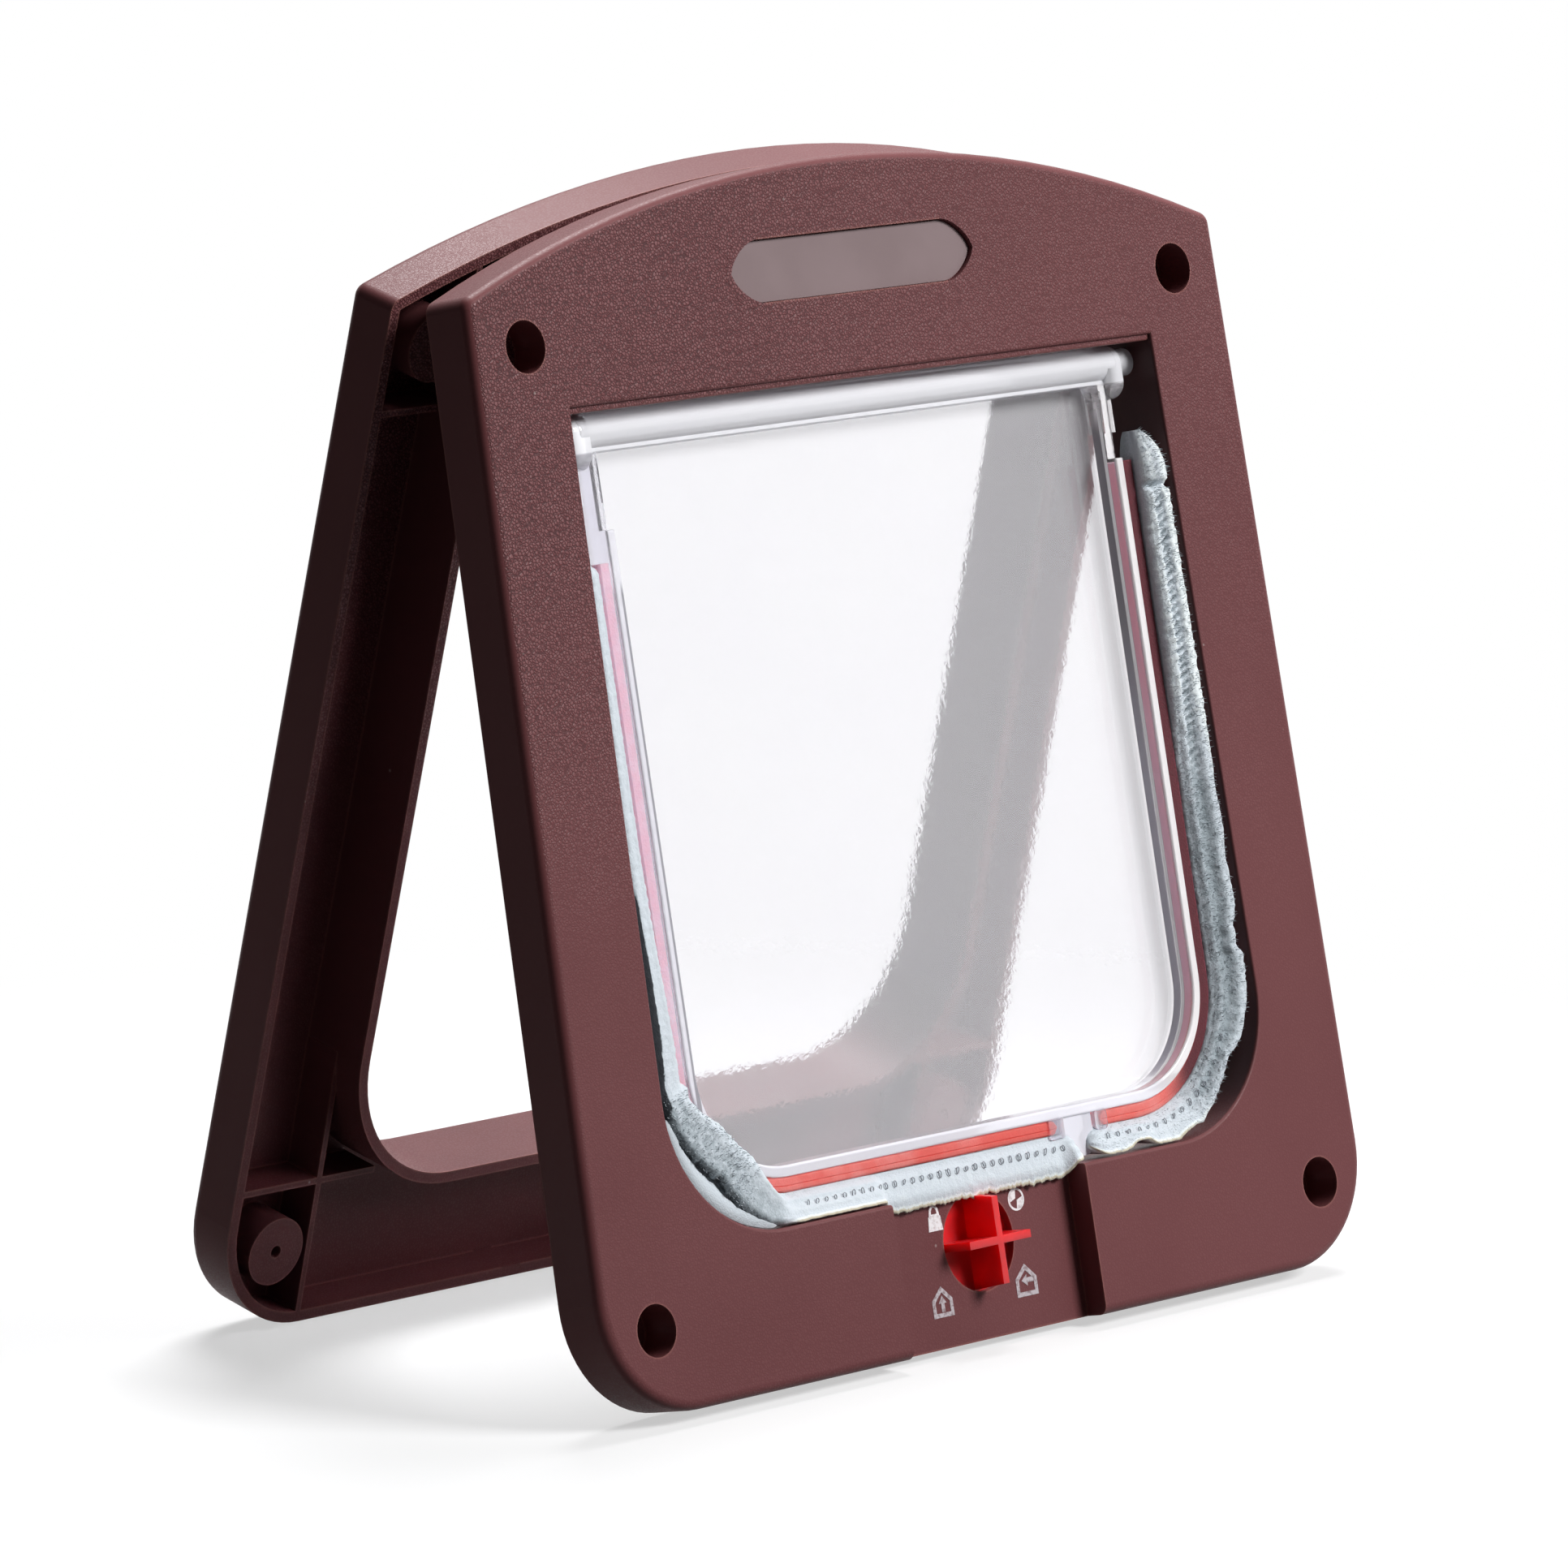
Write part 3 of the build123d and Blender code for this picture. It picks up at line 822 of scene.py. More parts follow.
# Painted shadow along the outer edge of the left pile, under the frame's edge
SHADOW_EDGE = 4.5
SHADOW_SHIFT = 1.15
SHADOW_HEIGHTS = (50.0, 68.0)
SHADOW_START = (0.02, 0.3)
SHADOW_BLEND = (-0.35, 0.05)
SHADOW_DARKER = 2.5

# Tufts, as size, waves per mm along and waves per mm across
TUFTS = (0.4, 0.95, 1.15)
FUZZ = (0.22, 2.6, 2.8)

# Tones and roughness of the pile, and its undercut edges in mm
TUFT_TONE = 0.25
FUZZ_TONE = 0.15
BOTTOM_SMOOTHER = 0.65
TUFT_SMOOTHER = 0.6
LEFT_ROUGH = (0.4, 0.6)
RIGHT_ROUGH = (0.5, 0.3)
LEAST_PILE = 0.25
THIN_END = 0.4
SIDE_TONE = 0.5
BACK_TONE = 0.3
OUTER_UNDERCUT = 0.45
INNER_UNDERCUT = 0.1
OUTER_LIFT = 0.1
PILE_SEED = 41


def pile_station(side, station):
    """Share along the bottom, and share leaning over the rim at the left corner."""
    out_u, out_v = station[1]
    bottom = ease(abs(out_v), *BOTTOM_START)
    lean = abs(2.0 * out_u * out_v) if side < 0 else 0.0
    return bottom, lean


def low_share(side, station):
    """Share of the left strip's lower length, where it leans over its tape and leaves the wall."""
    return 1.0 - ease(station[0][1], *LOW_HEIGHTS) if side < 0 else 0.0


def ragged_edge(side, distance):
    """Uneven size of the pile's edge at a distance along it."""
    broad_size, broad_rate = BROAD_RAG
    fine_size, fine_rate = FINE_RAG
    broad = broad_size * noise.noise((distance * broad_rate, side * 7.0, 0.0))
    return broad + fine_size * noise.noise((distance * fine_rate, side, 3.0))


def pile_shape(side, station, distance):
    """Inner edge, outer edge and back depth of the pile at a station."""
    (u, v), (out_u, out_v) = station
    bottom, lean = pile_station(side, station)
    ragged = ragged_edge(side, distance)
    reach = wall_reach(u, v, out_u, out_v) - PILE_WALL_GAP
    corner_most = LEFT_CORNER_MOST if side < 0 else RIGHT_CORNER_MOST
    most = PILE_MOST - (PILE_MOST - corner_most) * (1.0 - abs(out_u * out_u - out_v * out_v))
    outer = min(reach, most + RAG_AT_MOST * ragged) + RAG_AT_WALL * (ragged - 0.5) + BOTTOM_OVER * bottom
    if side > 0:
        notch = ease(noise.noise((u * NOTCH_RATE, v * NOTCH_RATE, 4.0)), *NOTCH_LEVELS)
        outer -= NOTCH_DEPTH * notch * (1.0 - ease(v, *NOTCH_HEIGHTS))
    droop = lock_gap(u) * bottom
    outer += droop * (DROOP + RAGGED_DROOP * ragged)
    inner = PILE_INNER - CORNER_LEAN * ease(lean, *LEAN_START) + RAG_INSIDE * ragged * lean
    inner -= TAPE_COVER * low_share(side, station) * (1.0 - ease(lean, *COVER_END)) * (1.0 - bottom)
    back = PILE_BACK + (CORNER_BACK - PILE_BACK) * ease(lean, *CORNER_BACK_START)
    if droop > DROOP_LEAST:
        back = min(back, LOCK_PANEL_DEPTH - DROOP_CLEARANCE)
    return inner, outer, back


def right_surface(height, share, across):
    """Front depth and tone of the right pile: a ribbed furrow above, and a tuft over a fold on top; painted
    shade darkens the ribs and the fold, and painted light makes the upper part paler.
    """
    front = curve_at(RIGHT_FRONT, share)
    tone = curve_at(RIGHT_TONE, share)
    front += (curve_at(UPPER_FRONT, share) - front) * ease(height, *UPPER_HEIGHTS)
    furrow = ease(share, *FURROW_START) * (1.0 - ease(share, *FURROW_END))
    under_fold = 1.0 - ease(height, TUFT_FOLD - TUFT_RISE, TUFT_FOLD)
    upper = ease(height, *RIB_HEIGHTS)
    rib = upper * under_fold * furrow * (0.5 + 0.5 * sin(2 * pi * (height - RIB_SLANT * across) / RIB_STEP))
    bulge = ease(height, TUFT_FOLD, TUFT_FOLD + TUFT_BULGE_RISE) * (1.0 - abs(2.0 * share - 1.0))
    fold = 1.0 - ease(abs(height - TUFT_FOLD), 0.0, FOLD_HALF)
    front += RIB_DEPTH * rib - TUFT_BULGE * bulge + FOLD_DEPTH * fold
    # Painted light brightens the upper part; painted shade darkens the rib furrows and the fold.
    tone += UPPER_PAINTED_LIGHT * upper - rib - FOLD_SHADE * fold
    return front, tone


def left_surface(station, share, across):
    """Front depth and tone of the left pile, with painted shadow at its outer edge."""
    low = low_share(LEFT, station)
    edge = SHADOW_EDGE - SHADOW_SHIFT * low * ease(station[0][1], *SHADOW_HEIGHTS)
    # Painted shadow darkens the outer edge of the left pile.
    gap = ease(low, *SHADOW_START) * ease(across - edge, *SHADOW_BLEND)
    return curve_at(LEFT_FRONT, share), curve_at(LEFT_TONE, share) - SHADOW_DARKER * gap


def pile_surface(side, station, share, across):
    """Front depth and tone of the pile at a share of its width."""
    (u, height), _ = station
    bottom, lean = pile_station(side, station)
    if side > 0:
        front, tone = right_surface(height, share, across)
    else:
        front, tone = left_surface(station, share, across)
    over_lock = lock_gap(u)
    low_front = curve_at(BOTTOM_FRONT, share) * over_lock + curve_at(SILL_FRONT, share) * (1.0 - over_lock)
    front += (low_front - front) * bottom
    tone += (curve_at(BOTTOM_TONE, share) - tone) * bottom
    tone += (CUT_EDGE_TONE - tone) * bottom * ease(share, *CUT_EDGE)
    lift = ease(lean, *LIFT_START)
    front += (curve_at(CORNER_FRONT, share) - front) * lift
    tone += (curve_at(CORNER_TONE, share) - tone) * lift
    return front, tone


def pile_roughness(side, station):
    """How rough the pile is at a station: smoother along the bottom and on the tuft."""
    height = station[0][1]
    bottom, lean = pile_station(side, station)
    rough = 1.0 - BOTTOM_SMOOTHER * bottom
    if side < 0:
        least, more = LEFT_ROUGH
        return rough * (least + more * lean)
    on_tuft = ease(height, TUFT_FOLD, TUFT_FOLD + TUFT_RISE)
    least, more = RIGHT_ROUGH
    return rough * (1.0 - TUFT_SMOOTHER * on_tuft) * (least + more * ease(height, *RIB_HEIGHTS))


def tuft_noise(kind, distance, across, seed):
    """Noise of one kind of tuft, and the same times its size."""
    size, rate_along, rate_across = kind
    value = noise.noise((distance * rate_along, across * rate_across, seed))
    return value, size * value


def make_pile(name, side, top, end, node):
    """Pile strip, ragged at its edge, tufted at its ends, with loose fibres."""
    stations = strip_stations(side, top, end, TAPE_THICKNESS, PILE_STEP)
    rings = []
    tones = []
    fibre_roots = []
    last = len(stations) - 1
    for index, station in enumerate(stations):
        distance = index * PILE_STEP
        bottom = pile_station(side, station)[0]
        rough = pile_roughness(side, station)
        inner, outer, back = pile_shape(side, station, distance)
        if side > 0:
            top_share = round_end(distance + END_START, TOP_ROUND, TOP_BLUNT)
        else:
            top_share = round_end(distance + END_START, END_ROUND)
        width_share = top_share * round_end((last - index) * PILE_STEP + END_START, END_ROUND)
        middle = inner + 0.5 * (outer - inner)
        ring = []
        for column in range(PILE_COLUMNS + 1):
            share = column / PILE_COLUMNS
            across = middle + (outer - inner) * (share - 0.5) * width_share
            front, tone = pile_surface(side, station, share, across)
            tuft, tuft_size = tuft_noise(TUFTS, distance, across, side * 11.0)
            fuzz, fuzz_size = tuft_noise(FUZZ, distance, across, side * 5.0)
            front = back - (back - front) * (THIN_END + (1.0 - THIN_END) * width_share)
            front = min(front - rough * (tuft_size + fuzz_size), back - LEAST_PILE)
            ring.append(station_point(station, across, front))
            tones.append(tone + rough * (TUFT_TONE * tuft + FUZZ_TONE * fuzz))
            if 0 < column < PILE_COLUMNS and (side > 0 or rough > FIBRE_ROUGHNESS):
                fibre_roots.append((station, across, front, share, bottom))
        outer_foot = middle + (outer - middle) * width_share - OUTER_UNDERCUT * width_share
        inner_foot = middle + (inner - middle) * width_share + INNER_UNDERCUT * width_share
        ring.append(station_point(station, outer_foot, back - OUTER_LIFT))
        ring.append(station_point(station, inner_foot, back))
        tones += [SIDE_TONE, BACK_TONE]
        rings.append(ring)
    bm = swept(rings)
    tone_layer = bm.verts.layers.float.new(PILE_MARK)
    points = [point for ring in rings for point in ring]
    marked = {tuple(round(c, 4) for c in point): tone for point, tone in zip(points, tones)}
    for vert in bm.verts:
        vert[tone_layer] = marked.get(tuple(round(c, 4) for c in vert.co), SIDE_TONE)
    fibre_count = FIBRE_COUNT if side > 0 else LEFT_FIBRE_COUNT
    add_fibres(bm, fibre_roots, random.Random(PILE_SEED + side), fibre_count)
    pile = finish_piece(name, bm, grey_pile, "flap")
    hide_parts(node)


# Loose fibres: counts, sizes in mm, directions and tones
FIBRE_COUNT = 2600
LEFT_FIBRE_COUNT = 650
FIBRE_ROUGHNESS = 0.5
FIBRE_BATCH = 100
FIBRE_BOTTOM_SHORTER = 0.5
FIBRE_RADIUS = 0.07
FIBRE_TIP = 0.01
FIBRE_SUNK = 0.1
FIBRE_LENGTHS = (0.5, 1.1)
FIBRE_SPREAD = (0.1, 1.0)
FIBRE_SIDEWAYS = (-0.6, 0.6)
FIBRE_TONE = 0.55
# Painted light: fibres along the bottom are paler too.
FIBRE_BOTTOM_TONE = 0.4
FIBRE_TONES = (-0.2, 0.3)


def add_fibres(bm, roots, draw, total):
    """Fine loose fibres that stand out of the pile, made in batches."""
    for _ in range(total // FIBRE_BATCH):
        batch = bmesh.new()
        tone_layer = batch.verts.layers.float.new(PILE_MARK)
        for _ in range(FIBRE_BATCH):
            add_fibre(batch, tone_layer, draw.choice(roots), draw)
        mesh = bpy.data.meshes.new("fibres")
        batch.to_mesh(mesh)
        batch.free()
        bm.from_mesh(mesh)
        bpy.data.meshes.remove(mesh)


def add_fibre(bm, tone_layer, root, draw):
    """One fibre, a thin cone that leans outwards."""
    station, across, front, share, bottom = root
    out_u, out_v = station[1]
    length = draw.uniform(*FIBRE_LENGTHS) * (1.0 - FIBRE_BOTTOM_SHORTER * bottom)
    outwards = draw.uniform(*FIBRE_SPREAD) * share
    sideways = draw.uniform(*FIBRE_SIDEWAYS)
    lean_to = Vector((out_u * outwards - out_v * sideways, out_v * outwards + out_u * sideways, 1.0))
    lean_to.normalize()
    middle = station_point(station, across, front) + lean_to * (length / 2 - FIBRE_SUNK)
    turn = lean_to.to_track_quat("Z", "Y").to_matrix().to_4x4()
    made = bmesh.ops.create_cone(
        bm, cap_ends=False, segments=3, radius1=FIBRE_RADIUS, radius2=FIBRE_TIP, depth=length,
        matrix=Matrix.Translation(middle) @ turn,
    )
    level = FIBRE_TONE + FIBRE_BOTTOM_TONE * bottom + draw.uniform(*FIBRE_TONES)
    for vert in made["verts"]:
        vert[tone_layer] = level


# Woven edge under the pile, in mm
SELVEDGE_STEP = 0.7
SELVEDGE_DROP = 2.0
SELVEDGE_INNER = 0.1
SELVEDGE_WALL_GAP = 1.0
SELVEDGE_CORNER_GAP = 0.3
SELVEDGE_MOST = 6.6
SELVEDGE_THICKNESS = 0.8
SELVEDGE_FRONT = 4.9
SELVEDGE_FORWARD = 0.9
SELVEDGE_WAVE = 0.25
SELVEDGE_BULGE = 0.2
SELVEDGE_TONE = 1.05
FORWARD_START = (0.1, 0.6)


def make_selvedge(name, side, top, end):
    """Woven white edge of the strip, under the pile, that comes forward at the left corner."""
    stations = strip_stations(side, top - SELVEDGE_DROP, end, TAPE_THICKNESS, SELVEDGE_STEP)
    rings = []
    for index, station in enumerate(stations):
        (u, v), (out_u, out_v) = station
        forward = ease(pile_station(side, station)[1], *FORWARD_START)
        wall = wall_reach(u, v, out_u, out_v)
        wave = SELVEDGE_WAVE * noise.noise((index * 0.5, side * 3.0, 9.0))
        outer = min(wall - SELVEDGE_WALL_GAP, SELVEDGE_MOST) + wave
        outer += (wall - SELVEDGE_CORNER_GAP - outer) * forward
        inner_front = SELVEDGE_FRONT + SELVEDGE_WAVE * noise.noise((index * 0.3, side * 3.0, 2.0))
        outer_front = inner_front + (SELVEDGE_FORWARD + wave - inner_front) * forward
        middle_front = (inner_front + outer_front) / 2 - SELVEDGE_BULGE
        section = (
            (SELVEDGE_INNER, inner_front + SELVEDGE_THICKNESS), (SELVEDGE_INNER, inner_front),
            (outer / 2, middle_front),
            (outer, outer_front), (outer, outer_front + SELVEDGE_THICKNESS),
            (outer / 2, middle_front + SELVEDGE_THICKNESS),
        )
        rings.append([station_point(station, across, depth) for across, depth in section])
    bm = swept(rings)
    tone_layer = bm.verts.layers.float.new(PILE_MARK)
    for vert in bm.verts:
        vert[tone_layer] = SELVEDGE_TONE
    finish_piece(name, bm, grey_pile, "flap")


# Stitches: places and sizes in mm, turns in radians, stretch
STITCH_STEP = 2.2
STITCH_PROUD = 0.28
STITCH_RADIUS = 0.5
STITCH_THICKNESS = 0.14
STITCH_SIDES = 8
STITCH_TURN = (-0.5, 0.5)
STITCH_WIDTH = (0.45, 0.9)
STITCH_LENGTH = (0.8, 1.3)
LEFT_STITCH_OUT = 2.3
RIGHT_STITCH_OUT = 1.9
LEFT_STITCH_START = -42.0
LEFT_STITCH_DOWN = 0.99
RIGHT_STITCH_DOWN = 0.45
STITCH_SEED = 7


def add_ring(bm, matrix):
    """Small ring of square section."""
    corners = []
    for across, up in ((-1, -1), (1, -1), (1, 1), (-1, 1)):
        point = (STITCH_RADIUS + across * STITCH_THICKNESS / 2, 0.0, up * STITCH_THICKNESS / 2)
        corners.append(bm.verts.new(point))
    edges = [bm.edges.new((corners[i], corners[(i + 1) % 4])) for i in range(4)]
    before = set(bm.verts) - set(corners)
    bmesh.ops.spin(
        bm, geom=corners + edges, cent=(0, 0, 0), axis=(0, 0, 1), angle=2 * pi, steps=STITCH_SIDES,
        use_merge=True,
    )
    made = [v for v in bm.verts if v not in before]
    bmesh.ops.transform(bm, matrix=matrix, verts=made)


def stitch_row(side, top, end, least_down, across):
    """Places of a row of stitches on the pile's front, where the strip faces down enough."""
    row = []
    for station in strip_stations(side, top, end, TAPE_THICKNESS, STITCH_STEP):
        if station[1][1] < -least_down:
            inner, outer, _ = pile_shape(side, station, 0.0)
            front = pile_surface(side, station, (across - inner) / (outer - inner), across)[0]
            row.append(station_point(station, across, front - STITCH_PROUD))
    return row


def make_stitches(name, points):
    """Row of thread loops at some points."""
    bm = bmesh.new()
    draw = random.Random(STITCH_SEED)
    for point in points:
        turn = Matrix.Rotation(draw.uniform(*STITCH_TURN), 4, "Z")
        stretch = Matrix.Diagonal((draw.uniform(*STITCH_WIDTH), draw.uniform(*STITCH_LENGTH), 1.0, 1.0))
        add_ring(bm, Matrix.Translation(point) @ turn @ stretch)
    bmesh.ops.remove_doubles(bm, verts=bm.verts, dist=1e-4)
    bmesh.ops.recalc_face_normals(bm, faces=bm.faces)
    finish_piece(name, bm, thread, "flap")


# Name plate and the fillings at its ends, in mm
PLATE_GAP = 0.12
PLATE_POINT = 7.1
PLATE_BULGE = 1.7
PLATE_BLUNT = 0.72
PLATE_STEPS = 12
PLATE_THICKNESS = 0.2
PLATE_ROUND = 0.1
END_COVER = 0.9
END_PROUD = 0.03


def plate_quarter(gap):
    """Points of the plate's pointed end, from its straight upper edge to its right tip."""
    points = []
    for index in range(PLATE_STEPS + 1):
        share = index / PLATE_STEPS
        across = PLATE_LENGTH / 2 - gap - PLATE_POINT * (1.0 - share)
        points.append((across, (PLATE_WIDTH / 2 - gap) * (1.0 - share**PLATE_BULGE) ** PLATE_BLUNT))
    return points


def make_plate_end(name, side, up):
    """Brown filling of one corner of the recess, which gives the plate its pointed end."""
    bm = bmesh.new()
    radius = PLATE_WIDTH / 2 + END_COVER
    middle = (PLATE_LENGTH - PLATE_WIDTH) / 2
    corners = plate_quarter(0.0)
    for index in range(PLATE_STEPS + 1):
        angle = pi / 2 * index / PLATE_STEPS
        corners.append((middle + radius * cos(angle), radius * sin(angle)))
    corners.append((PLATE_LENGTH / 2 - PLATE_POINT, radius))
    face = filled_face(bm, [(side * x, up * y) for x, y in corners])
    raise_faces(bm, [face], PLATE_DEPTH + END_PROUD)
    bmesh.ops.recalc_face_normals(bm, faces=bm.faces)
    bmesh.ops.translate(bm, vec=(0, PLATE_HEIGHT, -PLATE_DEPTH), verts=bm.verts)
    finish_piece(name, bm, brown_fill, "frames", smooth=False)


def make_plate():
    """Bare name plate with pointed ends and a rounded edge."""
    bm = bmesh.new()
    quarter = plate_quarter(PLATE_GAP)
    half = quarter + [(x, -y) for x, y in reversed(quarter[:-1])]
    filled_face(bm, half + [(-x, -y) for x, y in half])
    raised = raise_faces(bm, bm.faces[:], PLATE_THICKNESS)
    round_edges(bm, edges_among(bm, raised), PLATE_ROUND, segments=2)
    bmesh.ops.translate(bm, vec=(0, PLATE_HEIGHT, -PLATE_DEPTH), verts=bm.verts)
    finish_piece("name_plate", bm, plate_finish, "frames", smooth=False)


# Signs on the lock panel, as corners in mm
SIGN_HEIGHT = 0.08
SIGN_SUNK = 0.02
HOUSE = ((-2.5, -2.6), (2.5, -2.6), (2.5, 0.4), (0.0, 2.7), (-2.5, 0.4))
HOUSE_LINE = 0.75
ARROW = ((-0.4, -1.7), (0.4, -1.7), (0.4, -0.2), (0.95, -0.2), (0.0, 1.1), (-0.95, -0.2), (-0.4, -0.2))
LOCK_BODY = ((-1.75, -2.2), (1.75, -2.2), (1.45, 0.3), (-1.45, 0.3))
SHACKLE = ((-1.3, 0.2), (1.3, 0.2), (1.1, 1.5), (0.5, 2.3), (-0.5, 2.3), (-1.1, 1.5))
SHACKLE_LINE = 0.5
TURN_LINE = 0.4


def disc_corners(radius, count, start=0.0, sweep=2 * pi):
    """Points round a circle or an arc."""
    angles = [start + sweep * index / count for index in range(count)]
    return [(radius * cos(angle), radius * sin(angle)) for angle in angles]


def turned(corners, angle):
    """Corners turned about the middle."""
    return [(x * cos(angle) - y * sin(angle), x * sin(angle) + y * cos(angle)) for x, y in corners]


TURN_DISC = disc_corners(2.0, 24)
TURN_LOBE = disc_corners(1.7, 9, radians(88), radians(118)) + [(-0.15, 0.15)]


def outline_faces(bm, corners, width):
    """Band of faces inside a polygon's outline."""
    face = filled_face(bm, corners)
    face.normal_update()
    made = bmesh.ops.inset_individual(bm, faces=[face], thickness=width, use_even_offset=True)
    bmesh.ops.delete(bm, geom=[face], context="FACES_ONLY")
    return made["faces"]


def make_sign(name, place, ink, band, width, solids, size=1.0):
    """White sign on the lock panel, from one outline band and filled shapes."""
    bm = bmesh.new()
    faces = outline_faces(bm, band, width)
    for corners in solids:
        faces.append(filled_face(bm, corners))
    bmesh.ops.recalc_face_normals(bm, faces=bm.faces)
    raise_faces(bm, faces, SIGN_HEIGHT)
    bmesh.ops.scale(bm, vec=(size, size, 1.0), verts=bm.verts)
    bmesh.ops.translate(bm, vec=(*place, -LOCK_PANEL_DEPTH - SIGN_SUNK), verts=bm.verts)
    bmesh.ops.recalc_face_normals(bm, faces=bm.faces)
    finish_piece(name, bm, ink, "frames", smooth=False)


# Clear pockets, hinge lobes and hinge lip, in mm
POCKET_FRONT = TAPE_FRONT - 0.35
POCKET_BACK = TAPE_FRONT + 0.5
POCKET_LOW = 31.2
POCKET_HIGH = 34.9
LOBE_RADIUS = 3.3
LOBE_SIDES = 32
LOBE_DROP = 3.0
LOBE_WIDTH = 4.6
LOBE_ROUND = 1.6
LOBE_GAP = 0.02
LIP_DROP = 1.05
LIP_RISE = 0.3
LIP_FRONT = 0.8
LIP_BACK = 3.0
LIP_ROUND = 0.4


def make_pocket(name, left, right, rounding):
    """Clear pocket moulded round the end of a tape."""
    bm = bmesh.new()
    add_block(bm, left, right, POCKET_LOW, POCKET_HIGH, POCKET_FRONT, POCKET_BACK)
    through = [e for e in bm.edges if abs(e.verts[0].co.z - e.verts[1].co.z) > 0.1]
    round_edges(bm, through, rounding, segments=4)
    finish_piece(name, bm, clear_end, "flap", smooth=False)


def make_hinge_lobe(name, side, material):
    """Rounded clear lobe that hangs from one end of the hinge bar, outside the flap's wall."""
    bm = bmesh.new()
    bmesh.ops.create_circle(bm, cap_ends=True, segments=LOBE_SIDES, radius=LOBE_RADIUS)
    for vert in bm.verts:
        vert.co.y -= LOBE_DROP if vert.co.y < 0 else 0.0
    raised = raise_faces(bm, bm.faces[:], LOBE_WIDTH)
    round_edges(bm, edges_among(bm, raised), LOBE_ROUND, segments=4)
    outwards = Matrix.Rotation(side * pi / 2, 4, "Y")
    place = Matrix.Translation((side * (FLAP_HALF_WIDTH + LOBE_GAP), HINGE_HEIGHT, -HINGE_DEPTH))
    bmesh.ops.transform(bm, matrix=place @ outwards, verts=bm.verts)
    finish_piece(name, bm, material, "flap")


def make_hinge_lip():
    """Thin brown lip under the top of the opening, in front of the hinge bar."""
    bm = bmesh.new()
    half = opening_half(HEAD_HEIGHT)
    add_block(bm, -half, half, HEAD_HEIGHT - LIP_DROP, HEAD_HEIGHT + LIP_RISE, LIP_FRONT, LIP_BACK)
    lower = [v for v in bm.verts if v.co.y < HEAD_HEIGHT]
    long_edges = [e for e in edges_among(bm, lower) if e.calc_length() > LIP_BACK]
    round_edges(bm, long_edges, LIP_ROUND, segments=3)
    finish_piece("hinge_lip", bm, brown, "frames", smooth=False)


# Pieces, and the materials of the solids
SOLID_LOOKS = {
    "front_frame": brown, "rear_frame": brown, "flap": clear_flap, "lock_knob": red, "rear_cam": red,
}
for node_name, material in SOLID_LOOKS.items():
    for material_slot in nodes[node_name].material_slots:
        material_slot.material = material

make_tape("left_foam_tape", LEFT, LEFT_TAPE_TOP, LEFT_STRIP_END, "left_tape")
make_tape("right_foam_tape", RIGHT, RIGHT_TAPE_TOP, RIGHT_STRIP_START, "right_tape")
make_pile("left_pile_strip", LEFT, LEFT_TAPE_TOP, LEFT_PILE_END, "left_pile")
make_pile("right_pile_strip", RIGHT, RIGHT_PILE_TOP, RIGHT_PILE_START, "right_pile")
make_selvedge("left_selvedge", LEFT, LEFT_TAPE_TOP, LEFT_STRIP_END)
make_selvedge("right_selvedge", RIGHT, RIGHT_TAPE_TOP, RIGHT_STRIP_START)

left_row = stitch_row(LEFT, LEFT_TAPE_TOP, LEFT_STRIP_END, LEFT_STITCH_DOWN, LEFT_STITCH_OUT)
make_stitches("left_stitches", [point for point in left_row if point.x > LEFT_STITCH_START])
right_row = stitch_row(RIGHT, RIGHT_TAPE_TOP, RIGHT_STRIP_START, RIGHT_STITCH_DOWN, RIGHT_STITCH_OUT)
make_stitches("right_stitches", right_row)

make_pocket("left_pocket", LEFT_STRIP_END - 2.0, LEFT_STRIP_END + 1.6, rounding=0.4)
make_pocket("right_pocket", RIGHT_STRIP_START - 1.5, RIGHT_STRIP_START + 1.6, rounding=1.0)

make_hinge_lip()
make_hinge_lobe("left_hinge_lobe", LEFT, milky_lobe)
make_hinge_lobe("right_hinge_lobe", RIGHT, clear_lobe)

make_plate()
make_plate_end("plate_end_upper_left", LEFT, UPPER)
make_plate_end("plate_end_lower_left", LEFT, LOWER)
make_plate_end("plate_end_upper_right", RIGHT, UPPER)
make_plate_end("plate_end_lower_right", RIGHT, LOWER)

make_sign("padlock_sign", (-9.9, 22.3), sign_ink, SHACKLE, SHACKLE_LINE, [LOCK_BODY])
make_sign("turn_sign", (10.5, 22.5), sign_ink, TURN_DISC, TURN_LINE, [TURN_LOBE, turned(TURN_LOBE, pi)])
make_sign("way_out_sign", (10.1, 8.5), worn_ink, HOUSE, HOUSE_LINE, [turned(ARROW, pi / 2)], size=1.05)
make_sign("way_in_sign", (-10.9, 8.0), worn_ink, HOUSE, HOUSE_LINE, [ARROW])

# Camera, fitted to the outline of the front frame: place in metres, lens and sensor in mm
CAMERA_PLACE = (-1.17566, -1.146744, 0.385339)
CAMERA_RIGHT = Vector((0.69991, -0.71417, 0.00953))
CAMERA_UP = Vector((0.11945, 0.13019, 0.98427))
CAMERA_AHEAD = Vector((0.70417, 0.68776, -0.17643))
CAMERA_LENS = 221.266
SENSOR_WIDTH = 36.0
CAMERA_REACH = 20.0

# Studio: light of the world, and the floor in metres
AMBIENT = 0.045
LEFT_GLOSS = 0.15
GLOSS_ACROSS = (-0.5, 0.3)
FLOOR_RADIUS = 6.0
FLOOR_SIDES = 96
FLOOR_DROP = 0.4 * MM
FLOOR_FADE = (0.1, 0.32)
FLOOR_NEAR_GLOW = 0.55


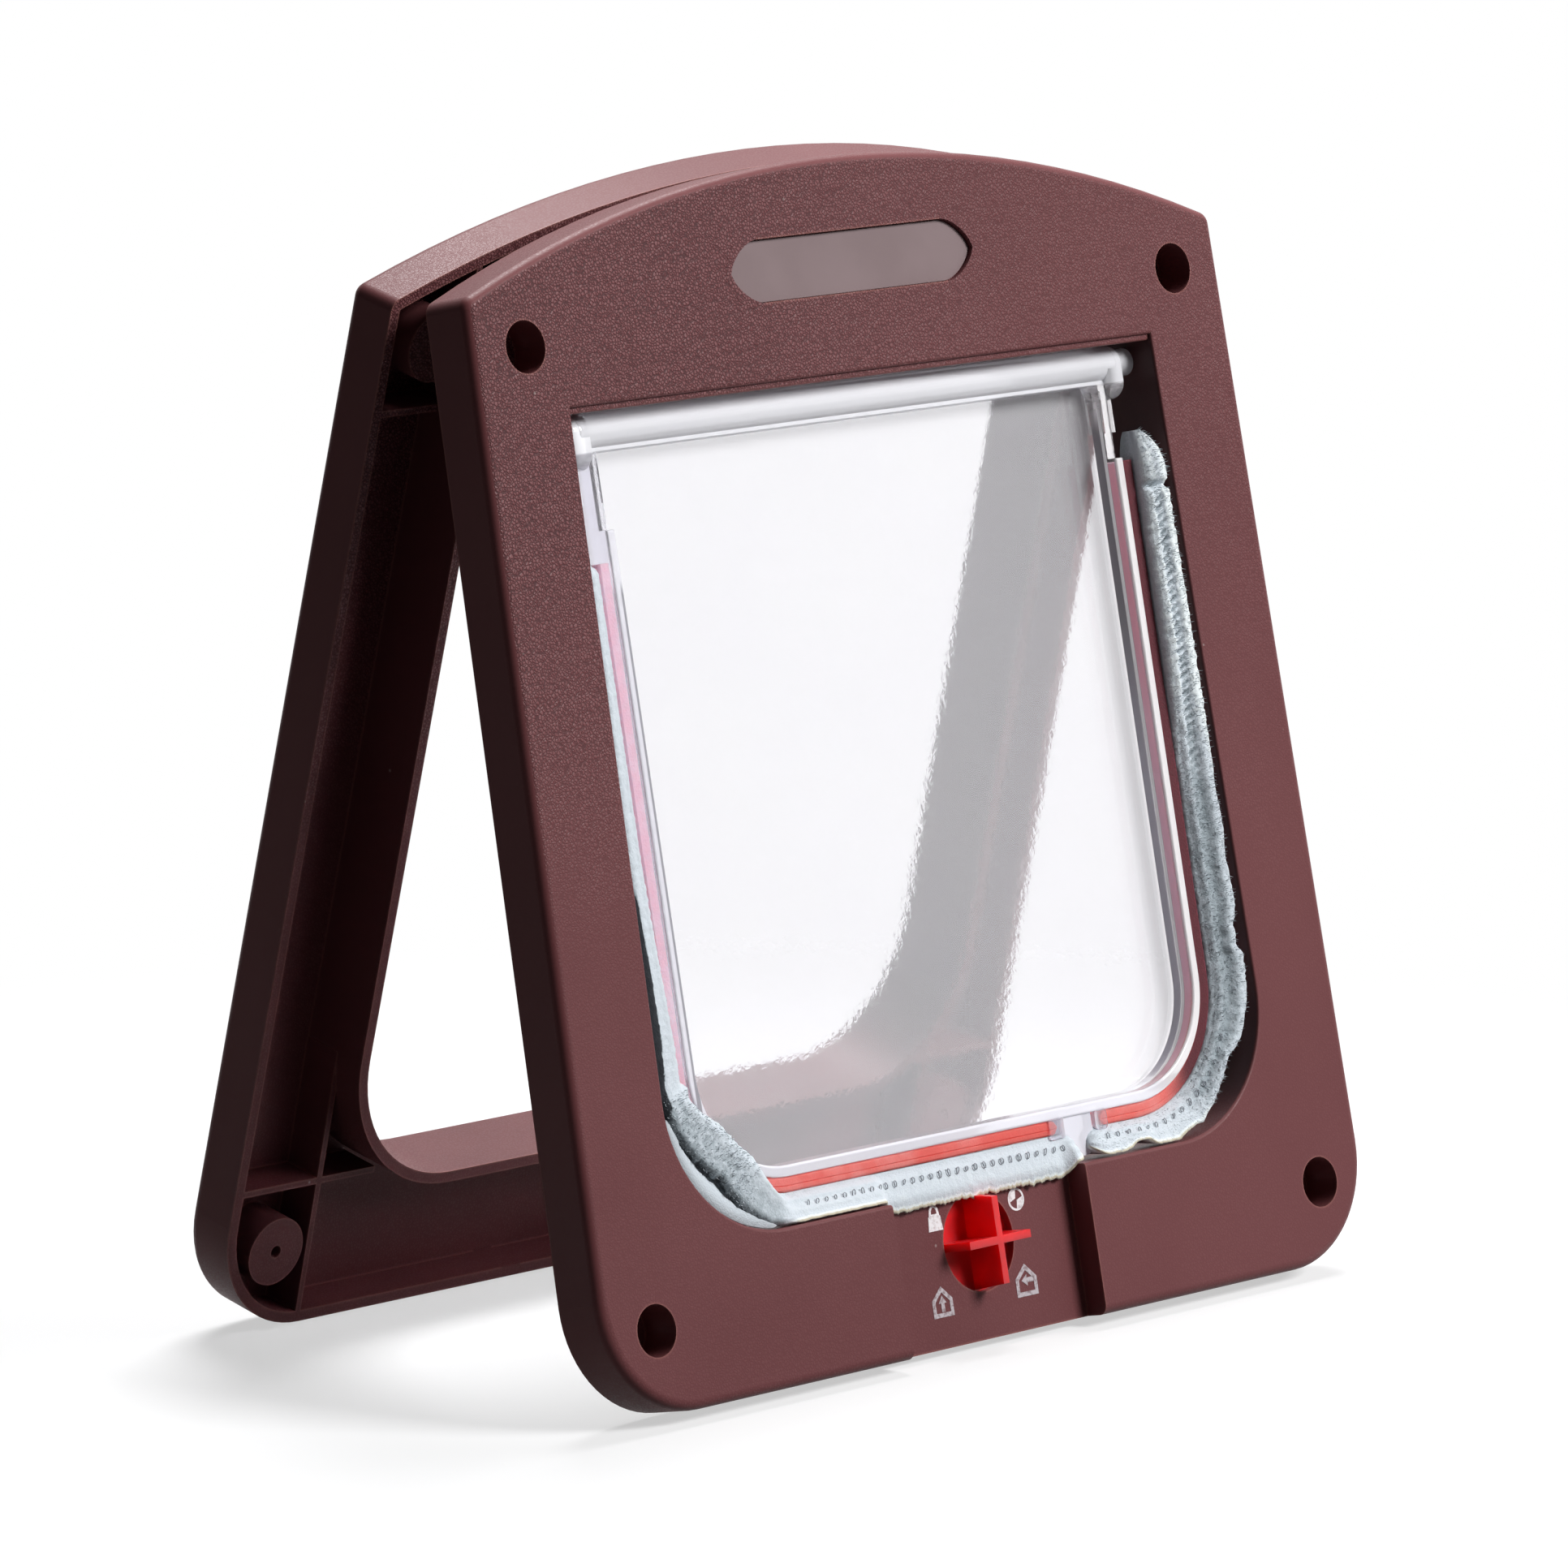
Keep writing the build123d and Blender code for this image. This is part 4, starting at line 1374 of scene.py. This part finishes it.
def add_camera():
    """Long lens from the front left, a little above the middle."""
    data = bpy.data.cameras.new("camera")
    data.sensor_width = SENSOR_WIDTH
    data.lens = CAMERA_LENS
    data.clip_end = CAMERA_REACH
    camera = bpy.data.objects.new("camera", data)
    turn = Matrix((CAMERA_RIGHT, CAMERA_UP, -CAMERA_AHEAD)).transposed().to_4x4()
    camera.matrix_world = Matrix.Translation(CAMERA_PLACE) @ turn
    bpy.context.scene.collection.objects.link(camera)
    bpy.context.scene.camera = camera


def add_lamp(name, place, aim, size, power):
    """Square soft lamp turned to a point."""
    data = bpy.data.lights.new(name, "AREA")
    data.size = size
    data.energy = power
    lamp = bpy.data.objects.new(name, data)
    lamp.location = place
    lamp.rotation_euler = (Vector(aim) - Vector(place)).to_track_quat("-Z", "Y").to_euler()
    bpy.context.scene.collection.objects.link(lamp)


def seen_share(across):
    """1 for camera and transmitted rays; glossy ones see a studio that is dark on the left."""
    path = add_node(across.id_data, "ShaderNodeLightPath").outputs
    plain = maths("MAXIMUM", path["Is Camera Ray"], path["Is Transmission Ray"])
    side = spread(across, *GLOSS_ACROSS, LEFT_GLOSS, 1.0)
    return maths("MAXIMUM", plain, times(path["Is Glossy Ray"], side))


def add_world():
    """White where it is seen, and a soft grey as light."""
    world = bpy.data.worlds.new("studio")
    world.use_nodes = True
    tree = world.node_tree
    direction = add_node(tree, "ShaderNodeTexCoord").outputs["Generated"]
    shown = seen_share(split(direction)["X"])
    set_shader(tree.nodes["Background"], {
        "Color": (1.0, 1.0, 1.0, 1.0),
        "Strength": maths("MAXIMUM", shown, AMBIENT),
    })
    bpy.context.scene.world = world


def floor_material():
    """White floor where it is seen, which glows into the background away from the object."""
    material, tree, shader = new_material("pale_floor")
    tree.nodes.remove(shader)
    place = object_place(tree)
    shown = seen_share(split(place)["X"])
    matt = add_node(tree, "ShaderNodeBsdfDiffuse", Color=blend_colour(shown, *FLOOR_GREY))
    glow = add_node(tree, "ShaderNodeEmission", Color=(1.0, 1.0, 1.0, 1.0), Strength=1.0)
    reach = add_node(tree, "ShaderNodeVectorMath", {"operation": "LENGTH"}, i0=place).outputs["Value"]
    share = times(spread(reach, *FLOOR_FADE, FLOOR_NEAR_GLOW, 1.0), shown)
    mixed = add_node(tree, "ShaderNodeMixShader", i0=share, i1=matt.outputs[0], i2=glow.outputs[0])
    tree.links.new(mixed.outputs[0], tree.nodes["Material Output"].inputs["Surface"])
    return material


def add_floor():
    """Round floor just under the object."""
    bm = bmesh.new()
    bmesh.ops.create_circle(bm, cap_ends=True, segments=FLOOR_SIDES, radius=FLOOR_RADIUS)
    mesh = bpy.data.meshes.new("floor")
    bm.to_mesh(mesh)
    bm.free()
    mesh.materials.append(floor_material())
    floor = bpy.data.objects.new("floor", mesh)
    floor.location.z = -FLOOR_DROP
    bpy.context.scene.collection.objects.link(floor)


add_camera()
add_world()
add_floor()
add_lamp("key_lamp", place=(0.68, -1.25, 1.08), aim=(0.0, -0.02, 0.13), size=0.6, power=33.0)
add_lamp("top_lamp", place=(0.45, 0.4, 1.35), aim=(0.0, 0.0, 0.12), size=0.7, power=26.0)
scene = bpy.context.scene
scene.view_settings.view_transform = "Standard"
